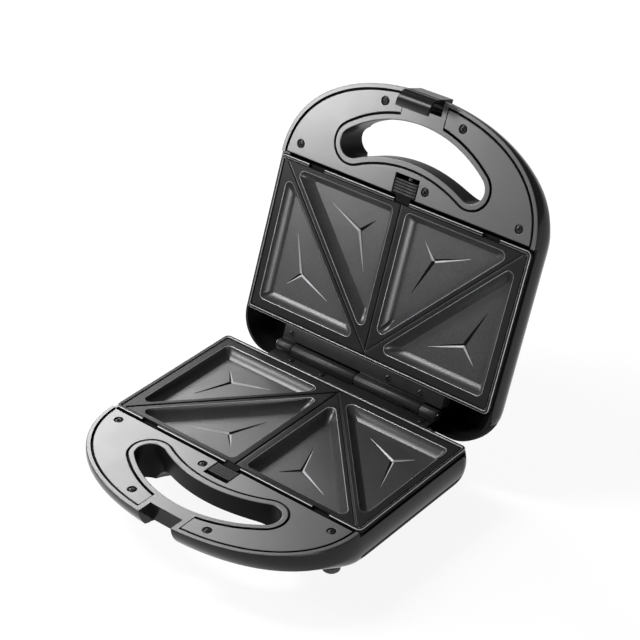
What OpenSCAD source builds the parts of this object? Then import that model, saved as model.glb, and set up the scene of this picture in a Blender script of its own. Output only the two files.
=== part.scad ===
// Sandwich toaster with a hinged lid, shown with its lid open.
// Both halves are made from the same parts. A half is drawn with the hinge axis
// on X, its cooking face upward and its depth downward. The lid is the same half
// turned half a turn about Y, and then opened about the hinge axis.

/* [Cooking plates] */
// Width of each cooking plate
plate_w = 226; // [210:1:240]
// Front to back size of each cooking plate
plate_d = 123; // [115:1:132]
// Height of the rim round each plate
plate_rim_h = 4; // [3.5:0.1:5]
// Width of that rim
plate_rim_w = 2.2; // [1.6:0.1:3]
// Radius of the plate's outer corners
plate_corner_r = 4; // [3:0.5:7]
// Step down from the rim to the flat land
land_drop = 0.9; // [0.5:0.1:1.4]
// Thickness of the plate metal
plate_sheet = 2; // [1.6:0.1:2.4]
// Depth of a bread pocket below the land
pocket_depth = 7.6; // [6:0.1:9]
// How far a pocket wall leans in from its top edge to its floor
pocket_lean = 6.2; // [5:0.1:7]
// Corner radius at the top edge of a pocket
pocket_corner_r = 4; // [3:0.1:5]
// Land between a pocket and the side of the plate
side_land = 9.3; // [7.5:0.1:11]
// Land between a pocket and the rear of the plate
rear_land = 10.2; // [8.5:0.1:12]
// Land between a pocket and the front of the plate
front_land = 7.1; // [6.5:0.1:9]
// Land between the two squares of bread
centre_land = 12; // [9:0.5:15]
// Land between the two pockets of one square
diagonal_land = 8; // [6:0.5:10]
// Width of the groove that cuts the lands in two
groove_w = 1.5; // [1:0.1:2]
// Depth of that groove
groove_depth = 1; // [0.6:0.1:1.4]
// Distance from a pocket's square corner to its star, along both legs
star_offset = 28; // [24:0.5:32]
// Length of the long arms of a star
star_arm = 31; // [24:0.5:34]
// Width of a star arm where the arms meet
star_arm_w = 2; // [1.4:0.1:2.6]
// Depth of the star grooves
star_depth = 0.9; // [0.5:0.1:1.2]
// Width of the catch notch in the middle of the front rim
catch_notch_w = 14; // [12:0.5:18]
// Width of the two side notches in the front rim
side_notch_w = 15; // [12:0.5:18]
// Distance of the side notches from the middle
side_notch_x = 79; // [70:1:88]

/* [Housings] */
// Distance from the plate's rear edge to the hinge axis
hinge_setback = 16.3; // [16:0.1:18]
// Length of the rounded handle end in front of the plate
nose_len = 79.5; // [76:0.5:86]
// Squareness of the rounded handle end, 2 is an ellipse
nose_power = 2.2; // [2:0.05:2.5]
// Wall thickness of both housings
shell_wall = 2.4; // [2:0.1:2.8]
// Gap between the plate's edge and the side wall
plate_gap = 1; // [0.8:0.1:1.6]
// Gap between the plate's rim and the rebate that it sits in
rim_gap = 0.6; // [0.4:0.1:0.8]
// Depth of the base housing below the parting plane
base_depth = 40; // [38:0.5:46]
// Depth of the lid housing above the parting plane
lid_depth = 34; // [33:0.5:40]
// Depth of both housings at the tip of the handle
handle_depth = 15; // [14:0.5:18]
// Depth at which the side walls are widest
belt_depth = 12; // [10:0.5:14]
// How far the side walls curve in towards the flat face
side_round = 28; // [22:1:32]
// How far the side walls lean in from the belt up to the rim
rim_tuck = 2.2; // [1.5:0.1:3]
// How far the tip of the handle leans in
tip_lean = 6; // [4:0.5:8]
// Slope of the belly from the handle down to the flat face
belly_angle = 17; // [16:0.5:19]
// How far the side walls stand below the rim beside the plates
wall_drop = 3.5; // [3:0.1:4]
// How far the lid reaches behind the hinge axis
lid_tail = 13; // [12:0.5:15]
// Corner radius at the rear of the lid
lid_corner_r = 28; // [22:1:32]
// Corner radius at the rear of the base
base_corner_r = 12; // [8:1:16]
// How far the rear of the lid curves in towards its flat face
lid_tail_round = 14; // [8:1:16]
// How far the rear of the base curves in towards its flat face
base_tail_round = 6; // [4:1:8]
// Width of the ventilation slots in the bottom
vent_w = 3; // [2:0.5:3.5]
// Length of the ventilation slots
vent_len = 28; // [20:1:32]
// Number of ventilation slots
vent_count = 7; // [3:2:9]

/* [Handle opening] */
// Distance from the middle to the centre of each rounded end
grip_lobe_x = 53.2; // [50:0.1:56]
// Radius of the rounded ends
grip_lobe_r = 11; // [9.5:0.1:12.5]
// Distance from the plate's front edge to those centres
grip_lobe_setback = 26.7; // [26:0.1:29]
// How far the middle of the opening's rear edge lies in front of those centres
grip_dip = 1.5; // [0.5:0.1:3]
// How far the middle of the opening's front edge lies in front of those centres
grip_reach = 29.8; // [28:0.1:32]
// Radius of the finger hollow under the handle
scoop_r = 60; // [54:1:66]
// Half length of the finger hollow
scoop_half = 60; // [56:1:64]
// Depth of the handle above the deepest line of the finger hollow
scoop_top = 14.8; // [14:0.1:16]

/* [Covers] */
// Thickness of the handle covers
cover_t = 2.2; // [1.8:0.1:2.6]
// Width of the housing rim outside the cover
rim_w = 3; // [2.4:0.1:3.6]
// Width of the band between the cover and the handle opening
grip_band = 4; // [3.4:0.1:4.6]
// Seam between the cover and the housing
seam = 0.5; // [0.3:0.05:0.6]
// How far the covers lie below the rim
cover_sink = 0.2; // [0.1:0.05:0.4]
// Width of the ledge that carries the cover
cover_ledge = 2.6; // [2:0.1:3]
// Half width of the gap in the cover at the latch
cover_gap_half = 19.2; // [18.6:0.1:20]

/* [Latch] */
// Half width of the slot for the latch in the tip of the handle
slot_half = 14.8; // [13:0.1:16]
// Depth of that slot behind the tip of the handle
slot_depth = 12.3; // [11.8:0.1:13]
// Gap between the latch and each side of the slot
latch_side_gap = 0.5; // [0.3:0.1:0.8]
// Thickness of the latch
latch_t = 2.2; // [1.8:0.1:2.6]
// How far the latch reaches past the parting plane
latch_reach = 17.5; // [17.2:0.1:18.5]
// Distance from the latch's outer face to its hook tip
latch_hook = 12.2; // [11.6:0.1:12.4]
// Radius of the latch's outer bend
latch_bend_r = 9.5; // [8:0.1:10]
// Height of the ribs inside the latch
latch_rib_h = 2.4; // [1.5:0.1:3]
// Depth of the latch pin from the parting plane
latch_pin_depth = 8; // [7:0.1:9]
// Radius of the latch pin
latch_pin_r = 1.25; // [1:0.05:1.5]
// Radius of the latch's barrel
latch_barrel_r = 3.4; // [3:0.1:3.6]
// Depth of the step that the latch hooks under
catch_depth = 13.9; // [13.4:0.1:14.2]

/* [Hinge] */
// Radius of the hinge barrel
barrel_r = 4.5; // [4:0.1:5]
// Radius of the hinge pin
hinge_pin_r = 2; // [1.6:0.1:2.4]
// Running clearance round a pin
pin_clear = 0.05; // [0.03:0.01:0.08]
// Half length of the hinge barrel
barrel_half = 74.5; // [70:0.5:80]
// Length of the short end knuckles
short_knuckle = 14; // [10:0.5:18]
// Gap between neighbouring knuckles
knuckle_gap = 0.5; // [0.3:0.1:0.8]
// Thickness of the hinge leaves
leaf_t = 1.5; // [1.2:0.1:1.8]
// Gap between a leaf and the other half's barrel
leaf_gap = 0.7; // [0.5:0.1:1]
// Distance of the hinge screws behind the hinge axis
leaf_screw_y = 10; // [9.5:0.1:11]
// Places of the hinge screws along the base leaf
leaf_screw_x = [-54.5, -25, 67.4];
// Depth of the shelf that carries a hinge leaf
shelf_depth = 6.5; // [6:0.1:7]
// Distance of the hinge block's rear wall in front of the hinge axis
block_rear_y = 2.6; // [2:0.1:3.5]
// Radius of the hinge block's lower rear edge
block_round = 6; // [4:0.5:8]
// Angle between the open and the closed lid
lid_open = 110; // [100:1:112]
// Gap between the open lid and its stop
stop_gap = 0.3; // [0.2:0.05:0.5]

/* [Plate release] */
// Width of the release button
button_w = 19.4; // [17:0.1:20]
// Front to back size of the release button
button_d = 11.4; // [10:0.1:12]
// Height of the button's cap
button_h = 3.4; // [3:0.1:4]
// Number of grip ribs on the button
button_ribs = 5; // [3:1:6]
// Travel of the release button
button_travel = 3; // [2.5:0.1:3.2]
// Thickness of the button's catch
catch_t = 1.4; // [1.2:0.1:1.8]
// Gap round the button
button_gap = 0.5; // [0.3:0.1:0.7]
// Radius of the return spring
spring_r = 1.8; // [1.4:0.05:1.85]
// Radius of the spring wire
spring_wire_r = 0.35; // [0.25:0.05:0.4]
// Number of turns of the return spring
spring_turns = 5; // [4:1:6]

/* [Heating] */
// Radius of the heating element's tube
element_r = 3.2; // [2.8:0.1:3.4]
// Bend radius of the heating element
element_bend_r = 12; // [10:0.5:14]
// Distance of the element from the plate's side edges
element_side = 33; // [30:1:40]
// Distance of the element from the plate's front and rear edges
element_end = 21.5; // [20:0.5:26]
// Half distance between the element's two cold ends
element_leg_x = 14; // [12:0.5:18]
// Gap between the element and what it lies against
element_gap = 0.3; // [0.2:0.05:0.4]
// Depth of the reflector tray's floor
tray_depth = 21.5; // [21:0.1:22.5]
// Thickness of the reflector tray
tray_t = 0.8; // [0.6:0.1:1]
// Distance of the tray's wall from the element
tray_margin = 8; // [6:0.5:9]
// Diameter of the thermostats
thermostat_d = 16; // [14:0.5:18]
// Distance of the thermostats from the middle
thermostat_x = 30; // [24:1:36]
// Distance of the thermostats behind the middle of the plate
thermostat_setback = 6; // [0:1:10]
// Distance of the thermal fuse from the middle
fuse_x = 30; // [24:1:36]
// Length of the thermal fuse
fuse_len = 18; // [14:1:22]
// Radius of the thermal fuse
fuse_r = 2; // [1.6:0.1:2.4]
// Width of the terminal block
terminal_w = 26; // [24:1:32]
// Front to back size of the terminal block
terminal_d = 12; // [10:0.5:14]
// Height of the terminal block
terminal_h = 9.5; // [8:0.5:11]

/* [Feet, lamps and cord inlet] */
// Height of the base housing's foot posts and rubber feet together
foot_h = 9.8; // [9:0.1:12]
// Height of the rubber feet alone
foot_rubber_h = 5; // [4:0.1:6]
// Radius of the feet
foot_r = 6.5; // [5.5:0.1:7.5]
// Distance of the front feet from the middle
foot_x = 86; // [80:0.5:88]
// Distance of the rear feet from the middle
rear_foot_x = 64; // [56:0.5:66]
// Distance of the front feet in front of the hinge axis
front_foot_y = 135; // [130:0.5:138]
// Distance of the rear feet in front of the hinge axis
rear_foot_y = 11; // [10.5:0.5:14]
// Depth at which the foot posts end inside the base
foot_post_top = 28; // [26:0.5:30]
// Radius of the lamp lenses
lamp_r = 4; // [3:0.1:5]
// Half distance between the two lamp lenses
lamp_x = 12; // [8:0.5:20]
// Distance of the lamps in front of the hinge axis
lamp_y = 112; // [100:1:118]
// Radius of the hole in the cord bush
cord_hole_r = 3.6; // [3:0.1:4]
// Distance of the cord bush from the middle
cord_x = 42; // [36:1:44]
// Depth of the cord bush below the parting plane
cord_depth = 27; // [26:0.5:28]

/* [Fasteners] */
// Head radius of the cover screws
cover_screw_head_r = 3; // [2.6:0.1:3.2]
// Shank radius of the cover screws
cover_screw_r = 1.4; // [1.2:0.1:1.6]
// Length of the cover screws below the head
cover_screw_len = 8; // [6:0.5:9]
// Distance of the outer cover screws from the middle
screw_outer_x = 98.3; // [94:0.1:100]
// Distance of the outer cover screws from the plate
screw_outer_y = 11.9; // [10:0.1:14]
// Distance of the front cover screws from the middle
screw_front_x = 34.5; // [30:0.1:38]
// Distance of the front cover screws from the plate
screw_front_y = 64.5; // [63:0.1:66]
// Distance of the button's cover screw from the middle
screw_button_x = 17.1; // [16.5:0.1:20]
// Distance of the button's cover screw from the plate
screw_button_y = 11.8; // [10:0.1:13]
// Head radius of the hinge screws
hinge_screw_head_r = 2.4; // [2.2:0.1:2.6]
// Shank radius of the hinge screws
hinge_screw_r = 1.4; // [1.2:0.1:1.6]
// Length of the hinge screws below the head
hinge_screw_len = 6; // [5:0.5:6.5]
// Head radius of the tray screws
tray_screw_head_r = 2.8; // [2.4:0.1:3]
// Shank radius of the tray screws
tray_screw_r = 1.5; // [1.2:0.1:1.6]
// Length of the tray screws below the head
tray_screw_len = 6; // [5:0.5:8]
// Head radius of the foot screws
foot_screw_head_r = 3; // [2.6:0.1:3.2]
// Shank radius of the foot screws
foot_screw_r = 1.6; // [1.4:0.1:1.8]
// Length of the foot screws below the head
foot_screw_len = 12; // [10:0.5:14]
// Height of a foot screw's head above the floor
foot_screw_sink = 2.4; // [2:0.1:3]
// Clearance of a shank in its hole
shank_clear = 0.1; // [0.05:0.01:0.2]

/* [Hidden] */

$fn = 48;
parting_gap = 0.4;
half_gap = parting_gap / 2;
overlap = 0.01;
far = 400;

// Plate edges, measured from the hinge axis.
plate_rear = -hinge_setback;
plate_front = plate_rear - plate_d;
land_z = -half_gap - land_drop;
pocket_floor_z = land_z - pocket_depth;
plate_bottom = pocket_floor_z - plate_sheet;
rim_bottom = -half_gap - plate_rim_h;
pocket_outer_x = plate_w / 2 - side_land;
pocket_inner_x = centre_land / 2;
pocket_rear = plate_rear - rear_land;
pocket_front = plate_front + front_land;

// The diagonal of one square of bread, from its outer front corner to the rear.
diagonal_side_inset = 3;
diagonal_rear_inset = 4.7;
diagonal_start = [-plate_w / 2 + diagonal_side_inset, plate_front];
diagonal_end = [0, plate_rear - diagonal_rear_inset];
diagonal_way = (diagonal_end - diagonal_start) / norm(diagonal_end - diagonal_start);
diagonal_side = [-diagonal_way.y, diagonal_way.x];

// Outline of a housing.
wall_in_x = plate_w / 2 + plate_gap;
side_x = wall_in_x + shell_wall;
rim_x = side_x - rim_tuck;
nose_tip = plate_front - nose_len;
base_rear = plate_rear + plate_gap + shell_wall - 0.2;
nose_steps = 36;
corner_steps = 4;
upper_rings = 4;
lower_rings = 6;
wall_top_z = -half_gap - wall_drop;
vent_pitch = 3 * vent_w;
cover_setback = 3.2;
band_t = 2;
screw_seat = 0.8;
cover_rear = plate_front - cover_setback;
cover_bed_z = -half_gap - cover_sink - cover_t;
screw_seat_z = cover_bed_z + screw_seat;
band_bottom_z = cover_bed_z - band_t;
rib_front = cover_rear - 2.6;
rib_rear = plate_front - 1.8;

// Handle opening, made of four tangent arcs.
lobe_y = plate_front - grip_lobe_setback;
grip_rear_y = lobe_y - grip_dip;
grip_front_y = lobe_y - grip_reach;
grip_rear_r = (pow(grip_lobe_x, 2) + pow(grip_dip, 2) - pow(grip_lobe_r, 2))
    / (2 * (grip_lobe_r + grip_dip));
grip_front_r = (pow(grip_lobe_x, 2) + pow(grip_reach, 2) - pow(grip_lobe_r, 2))
    / (2 * (grip_reach - grip_lobe_r));
grip_rear_c = grip_rear_y + grip_rear_r;
grip_front_c = grip_front_y + grip_front_r;
scoop_setback = 9;
scoop_end_r = 20;
scoop_y = lobe_y - scoop_setback;

// Latch slot and latch.
slot_y = nose_tip + slot_depth;
latch_proud = 0.6;
latch_neck = 4;
latch_face_y = nose_tip - latch_proud;
latch_pin_y = latch_face_y + latch_barrel_r + latch_neck;
latch_half = slot_half - latch_side_gap;
slot_cheek = 2.4;
latch_pin_half = slot_half + slot_cheek;

// Hinge.
leaf_bed_z = wall_top_z;
leaf_top_z = leaf_bed_z + leaf_t;
leaf_front = plate_rear + 0.6;
leaf_rear = -(barrel_r + leaf_gap);
shelf_rear = leaf_rear - 1.3;
shelf_half = barrel_half + 1;
long_knuckle_end = barrel_half - short_knuckle;
pin_half = barrel_half + 0.3;
hinge_z = base_depth + half_gap + foot_h;
block_rear = -block_rear_y;
block_front = base_rear - base_tail_round - 2;
bush_wall = 2;
bush_lip = 2;
bush_lip_t = 2.2;
bush_len = 9;
bush_boss_wall = 3.4;
bush_boss_len = 6.6;
cord_way = 20;
cord_seat_y = block_rear + 0.6;
foot_hole_top = foot_screw_sink + foot_screw_len + 1 - hinge_z;
lid_reach = turned([nose_tip + tip_lean, handle_depth + half_gap], -lid_open).x;
hinge_y = -(nose_tip + lid_reach) / 2;
lid_wall_edge = turned([lid_tail, -wall_top_z], -lid_open);
lid_wall_inner_edge = turned([lid_tail - shell_wall, -wall_top_z], -lid_open);
stop_way = [-sin(lid_open), -cos(lid_open)];
stop_x = 45;
stop_w = 6;

// Release button.
button_top_z = -half_gap - 0.2;
button_rear = cover_rear - 0.1;
button_front = button_rear - button_d;
slide_top_z = button_top_z - button_h;
slide_bottom_z = slide_top_z - 4.6;
catch_z = rim_bottom + 1.3;
catch_tip = plate_front + 2;
button_shelf_t = 2;
window_reach = 12;
window_h = 20;
spring_z = (slide_top_z + slide_bottom_z) / 2;
slide_front = button_front + 1;
spring_peg_r = spring_r - spring_wire_r - 0.3;
spring_stop_y = grip_rear_y + grip_band + cover_ledge + 0.4;
spring_len = slide_front - spring_stop_y - 0.2;

// Heating.
element_z = plate_bottom - element_gap - element_r;
element_x = plate_w / 2 - element_side;
element_rear = plate_rear - element_end;
element_front = plate_front + element_end;
tray_top_z = plate_bottom - 1.5;
tray_x = element_x + tray_margin + element_r;
tray_rear = element_rear + tray_margin + element_r;
tray_front = element_front - tray_margin - element_r;
tray_bottom_z = -tray_depth - tray_t;
leg_notch = 2 * element_r + 1.2;
tray_screw_side = 10;
tray_screw_rear = 16;
tray_screw_fore = 12;
tray_screw_x = element_x - tray_screw_side;
tray_screw_y = [element_rear - tray_screw_rear, element_front + tray_screw_fore];
terminal_gap = 8;
terminal_setback = 20;
terminal_x = cord_x - terminal_w - terminal_gap;
terminal_y = plate_rear - terminal_setback;
thermostat_y = (plate_front + plate_rear) / 2 + thermostat_setback;
post_r = 3.6;
part_clear = 0.3;
head_clear = 0.4;

black = [0.09, 0.09, 0.10];
satin = [0.45, 0.45, 0.47];
coated = [0.22, 0.22, 0.23];
steel = [0.72, 0.73, 0.75];
rubber = [0.06, 0.06, 0.06];

// Turns a point [y, z] about the hinge axis.
function turned(p, a) = [p.x * cos(a) - p.y * sin(a), p.x * sin(a) + p.y * cos(a)];
function signed_power(v, e) = sign(v) * pow(abs(v), e);
function arc(c, r, from, to, steps) =
    [for (i = [0:steps]) c + r * [cos(from + (to - from) * i / steps), sin(from + (to - from) * i / steps)]];

// The curve of the handle end, from +X round the tip to -X.
function nose_curve(half, tip, root) = [
    for (i = [0:nose_steps])
        let (a = 180 * i / nose_steps)
        [half * signed_power(cos(a), 2 / nose_power), root - (root - tip) * pow(sin(a), 2 / nose_power)]
];

// Size of a housing at depth d below the parting plane.
function curve_in(u) = 1 - sqrt(max(0, 1 - u * u));
function half_width(d, depth) =
    d < belt_depth ? rim_x + rim_tuck * sin(90 * d / belt_depth)
                   : side_x - side_round * curve_in((d - belt_depth) / (depth - belt_depth));
function tip_at(d) =
    d < handle_depth ? nose_tip + tip_lean * pow(max(0, d) / handle_depth, 2)
                     : nose_tip + tip_lean + (d - handle_depth) / tan(belly_angle);
function root_at(d) = max(plate_front, tip_at(d) + nose_len * 0.55);
function tail_at(d, depth, tail, round) = tail - round * curve_in(d / depth);
function outline_at(d, depth, tail, round, corner, inset) =
    let (half = half_width(d, depth) - inset, rear = tail_at(d, depth, tail, round) - inset,
         r = max(1, corner - inset))
    concat(nose_curve(half, tip_at(d) + inset, root_at(d)),
           arc([-half + r, rear - r], r, 180, 90, corner_steps),
           arc([half - r, rear - r], r, 90, 0, corner_steps));
function ring_depths(depth) = concat(
    [for (i = [0:upper_rings]) handle_depth * i / upper_rings],
    [for (i = [1:lower_rings]) handle_depth + (depth - handle_depth) * sin(90 * i / lower_rings)]);
function at_height(points, z) = [for (p = points) [p.x, p.y, z]];

// Corners of a triangular pocket, moved inward by an inset.
function side_len(p, q) = norm(p - q);
function incentre(t) =
    let (a = side_len(t[1], t[2]), b = side_len(t[2], t[0]), c = side_len(t[0], t[1]))
    (a * t[0] + b * t[1] + c * t[2]) / (a + b + c);
function inradius(t) =
    let (a = side_len(t[1], t[2]), b = side_len(t[2], t[0]), c = side_len(t[0], t[1]), s = (a + b + c) / 2)
    sqrt((s - a) * (s - b) * (s - c) / s);
function inset_corner(t, i, inset) = t[i] + (incentre(t) - t[i]) * inset / inradius(t);
function outward(p, q) = atan2(p.x - q.x, q.y - p.y);
function turn_up(a, b) = b > a ? b : b + 360;
function turn_down(a, b) = b < a ? b : b - 360;
// Outline of a triangle with round corners; its corners run clockwise.
function round_triangle(t, inset, r, steps) = [
    for (i = [0:2])
        let (before = t[(i + 2) % 3], here = t[i], after = t[(i + 1) % 3],
             a = outward(before, here) + 180, b = outward(here, after) + 180)
        each arc(inset_corner(t, i, inset + r), r, a, turn_down(a, b), steps)
];

// Corner triangles of the left square: the outer pocket and the front pocket.
function on_diagonal_at_x(x, h) =
    diagonal_start.y + (h - (x - diagonal_start.x) * diagonal_side.x) / diagonal_side.y;
function on_diagonal_at_y(y, h) =
    diagonal_start.x + (h - (y - diagonal_start.y) * diagonal_side.y) / diagonal_side.x;
outer_pocket = [
    [-pocket_outer_x, pocket_rear],
    [on_diagonal_at_y(pocket_rear, diagonal_land / 2), pocket_rear],
    [-pocket_outer_x, on_diagonal_at_x(-pocket_outer_x, diagonal_land / 2)]
];
front_pocket = [
    [-pocket_inner_x, pocket_front],
    [on_diagonal_at_y(pocket_front, -diagonal_land / 2), pocket_front],
    [-pocket_inner_x, on_diagonal_at_x(-pocket_inner_x, -diagonal_land / 2)]
];

// Puts a half where the base is, or where the open lid is.
module in_base() { translate([0, hinge_y, hinge_z]) children(); }
module in_lid() {
    translate([0, hinge_y, hinge_z]) rotate([-lid_open, 0, 0]) rotate([0, 180, 0]) children();
}
module mirrored() { children(); mirror([1, 0, 0]) children(); }

// A closed skin over a stack of outlines of equal length, the highest first.
module loft(rings) {
    n = len(rings[0]);
    last = len(rings) - 1;
    polyhedron(
        points = [for (ring = rings) each ring],
        faces = concat(
            [[for (i = [0:n - 1]) i]],
            [for (k = [0:last - 1]) for (i = [0:n - 1])
                each [[k * n + i, (k + 1) * n + i, (k + 1) * n + (i + 1) % n],
                      [k * n + i, (k + 1) * n + (i + 1) % n, k * n + (i + 1) % n]]],
            [[for (i = [0:n - 1]) last * n + n - 1 - i]]));
}

module round_rect(w, d, r) {
    square([w - 2 * r, d], center = true);
    square([w, d - 2 * r], center = true);
    for (x = [-1, 1]) for (y = [-1, 1])
        translate([x * (w / 2 - r), y * (d / 2 - r)]) circle(r);
}

// Plan of the handle end, moved inward by an inset.
module nose_plan(inset) {
    polygon(nose_curve(rim_x - inset, nose_tip + inset, plate_front));
}

// Plan of the handle opening, grown outward.
module grip_plan(grow) {
    lobe = [grip_lobe_x, lobe_y];
    end = [0, grip_front_c] + 1.4 * (lobe - [0, grip_front_c]);
    for (s = [-1, 1]) translate([s * lobe.x, lobe.y]) circle(grip_lobe_r + grow);
    intersection() {
        difference() {
            translate([0, grip_front_c]) circle(grip_front_r + grow, $fn = 96);
            translate([0, grip_rear_c]) circle(grip_rear_r - grow, $fn = 96);
        }
        polygon([[0, grip_rear_c], lobe, end, [0, end.y - far], [-end.x, end.y], [-lobe.x, lobe.y]]);
    }
}

// Hollow for the fingers under the handle, grown outward.
module finger_hollow(grow) {
    r = scoop_r + grow;
    half = scoop_half + grow;
    end_r = scoop_end_r + grow;
    translate([0, scoop_y, -scoop_top - scoop_r - half_gap]) rotate([0, 90, 0])
        rotate_extrude($fn = 72) {
            translate([0, -half]) square([r - end_r, 2 * half]);
            translate([0, -half + end_r]) square([r, 2 * (half - end_r)]);
            for (s = [-1, 1]) translate([r - end_r, s * (half - end_r)]) intersection() {
                circle(end_r, $fn = 48);
                translate([0, -end_r]) square([end_r, 2 * end_r]);
            }
        }
}

function cover_screw_places() = [
    [-screw_outer_x, plate_front - screw_outer_y], [screw_outer_x, plate_front - screw_outer_y],
    [-screw_front_x, plate_front - screw_front_y], [screw_front_x, plate_front - screw_front_y],
    [-screw_button_x, plate_front - screw_button_y]
];
module at_cover_screws() { for (p = cover_screw_places()) translate([p.x, p.y, 0]) children(); }
module at_leaf_screws() { for (x = leaf_screw_x) translate([x, -leaf_screw_y, 0]) children(); }
module at_tray_screws() {
    for (s = [-1, 1]) for (y = tray_screw_y) translate([s * tray_screw_x, y, 0]) children();
}

// Outer skin and inner room of a housing.
module outer_skin(depth, tail, round, corner) {
    loft([for (d = ring_depths(depth))
        at_height(outline_at(d, depth, tail, round, corner, 0), -half_gap - d)]);
}
module inner_room(depth, tail, round, corner) {
    floor_depth = depth - shell_wall;
    loft(concat(
        [at_height(outline_at(shell_wall, depth, tail, round, corner, shell_wall), 1)],
        [for (d = ring_depths(depth))
            if (d > shell_wall)
                at_height(outline_at(d, depth, tail, round, corner, shell_wall),
                          -half_gap - d + shell_wall)]));
}

// Walls, bands and posts inside a housing, before its skin trims them.
module housing_inside(depth) {
    deep = -depth - half_gap;
    translate([0, 0, band_bottom_z]) linear_extrude(-half_gap - band_bottom_z) {
        difference() {
            nose_plan(0.4);
            nose_plan(rim_w);
        }
        grip_plan(grip_band);
        translate([-cover_gap_half + seam, nose_tip])
            square([2 * (cover_gap_half - seam), grip_front_y + 6 - nose_tip]);
    }
    translate([0, 0, band_bottom_z]) linear_extrude(cover_bed_z - band_bottom_z) {
        difference() {
            nose_plan(0.4);
            nose_plan(rim_w + cover_ledge);
        }
        grip_plan(grip_band + cover_ledge);
    }
    translate([0, 0, deep]) linear_extrude(cover_bed_z - deep) grip_plan(shell_wall);
    // The bar between the handle opening and the latch slot, with the slot's cheeks.
    translate([-slot_half - slot_cheek, nose_tip, deep])
        cube([2 * (slot_half + slot_cheek), grip_front_y - nose_tip, cover_bed_z - deep]);
    // The rib between the cover and the plate.
    translate([-far / 2, rib_front, -14]) cube([far, rib_rear - rib_front, cover_bed_z + 14]);
    at_cover_screws() translate([0, 0, deep]) cylinder(r = post_r, h = cover_bed_z - deep);
    at_tray_screws() translate([0, 0, deep]) cylinder(r = post_r, h = tray_bottom_z - deep);
    // Ledges under the plate's side rims.
    for (s = [-1, 1]) translate([s * (plate_w / 2 - 1) - 2.5, plate_front + 6, rim_bottom - part_clear - 3])
        cube([5, plate_d - 16, 3]);
    // Floor and stop for the release button and its spring.
    translate([-button_w / 2 - 3, spring_stop_y - 2.4, slide_bottom_z - part_clear - button_shelf_t])
        cube([button_w + 6, rib_front - spring_stop_y + 3, button_shelf_t]);
    translate([-button_w / 2 - 3, grip_rear_y + 1, slide_bottom_z - part_clear - button_shelf_t])
        cube([button_w + 6, spring_stop_y - grip_rear_y - 1,
              cover_bed_z - slide_bottom_z + part_clear + button_shelf_t]);
    translate([0, spring_stop_y - 1, spring_z]) rotate([-90, 0, 0]) cylinder(r = spring_peg_r, h = 2);
    finger_hollow(shell_wall);
}

// What is cut from a housing after its inside is in place.
module housing_cuts(depth) {
    translate([-far / 2, plate_front - 2, wall_top_z]) cube([far, far, 10]);
    translate([0, 0, -far / 2]) linear_extrude(far) grip_plan(0);
    finger_hollow(0);
    translate([-slot_half, nose_tip - 10, -far / 2]) cube([2 * slot_half, slot_depth + 10, far]);
    translate([-slot_half - 0.6, slot_y - 1, -far / 2])
        cube([2 * slot_half + 1.2, grip_front_y - slot_y + 2, far / 2 - catch_depth]);
    at_cover_screws() translate([0, 0, cover_bed_z - cover_screw_len - 1])
        cylinder(r = cover_screw_r + shank_clear, h = far);
    at_tray_screws() translate([0, 0, -tray_depth - tray_screw_len - 1])
        cylinder(r = tray_screw_r + shank_clear, h = tray_screw_len + 4);
    // Window for the release catch, and room for the cap above it.
    translate([-catch_notch_w / 2 + 0.2, rib_front - 1, slide_bottom_z - part_clear])
        cube([catch_notch_w - 0.4, window_reach, window_h]);
    translate([-button_w / 2 - button_gap, rib_front - 1, slide_top_z - part_clear])
        cube([button_w + 2 * button_gap, window_reach, window_h]);
    // Rebate for the rim of the plate.
    translate([0, (plate_front + plate_rear) / 2, rim_bottom - part_clear]) linear_extrude(far)
        round_rect(plate_w + 2 * rim_gap, plate_d + 2 * rim_gap, plate_corner_r + rim_gap);
}

module half_housing(depth, tail, round, corner) {
    difference() {
        union() {
            difference() {
                outer_skin(depth, tail, round, corner);
                inner_room(depth, tail, round, corner);
            }
            intersection() {
                outer_skin(depth, tail, round, corner);
                housing_inside(depth);
            }
        }
        housing_cuts(depth);
    }
}

// Shelf under a hinge leaf.
module hinge_shelf() {
    translate([-shelf_half, leaf_front, leaf_bed_z - shelf_depth])
        cube([2 * shelf_half, shelf_rear - leaf_front, shelf_depth]);
}
module hinge_screw_holes() {
    at_leaf_screws() translate([0, 0, leaf_top_z - hinge_screw_len - 1])
        cylinder(r = hinge_screw_r + shank_clear, h = hinge_screw_len + 4);
}

// Block below the base's hinge shelf, moved inward by an inset. It carries the rear feet
// far enough back for the open lid's weight, and takes the cord inlet.
module hinge_block(inset) {
    top = leaf_bed_z - shelf_depth - inset;
    low = -base_depth - half_gap + inset;
    rear = block_rear - inset;
    r = block_round - inset;
    half = shelf_half - inset;
    translate([-half, 0, 0]) rotate([90, 0, 90]) linear_extrude(2 * half) polygon(concat(
        [[block_front - inset, top], [rear, top]],
        arc([rear - r, low + r], r, 0, -90, 6),
        [[block_front - inset, low]]));
}

// Places of the feet, relative to the hinge axis.
function foot_places() = [
    [-foot_x, -front_foot_y], [foot_x, -front_foot_y],
    [-rear_foot_x, -rear_foot_y], [rear_foot_x, -rear_foot_y]
];

// Two ribs that carry the open lid.
module lid_stops() {
    gap = stop_gap * stop_way;
    for (s = [-1, 1]) translate([s * stop_x - stop_w / 2, 0, 0])
        rotate([90, 0, 90]) linear_extrude(stop_w) polygon([
            [shelf_rear - 1, leaf_bed_z - 2], [shelf_rear + 0.6, leaf_bed_z - 2],
            lid_wall_inner_edge + gap, lid_wall_edge + gap,
            [shelf_rear - 1, lid_wall_edge.y + gap.y]]);
}

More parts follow.
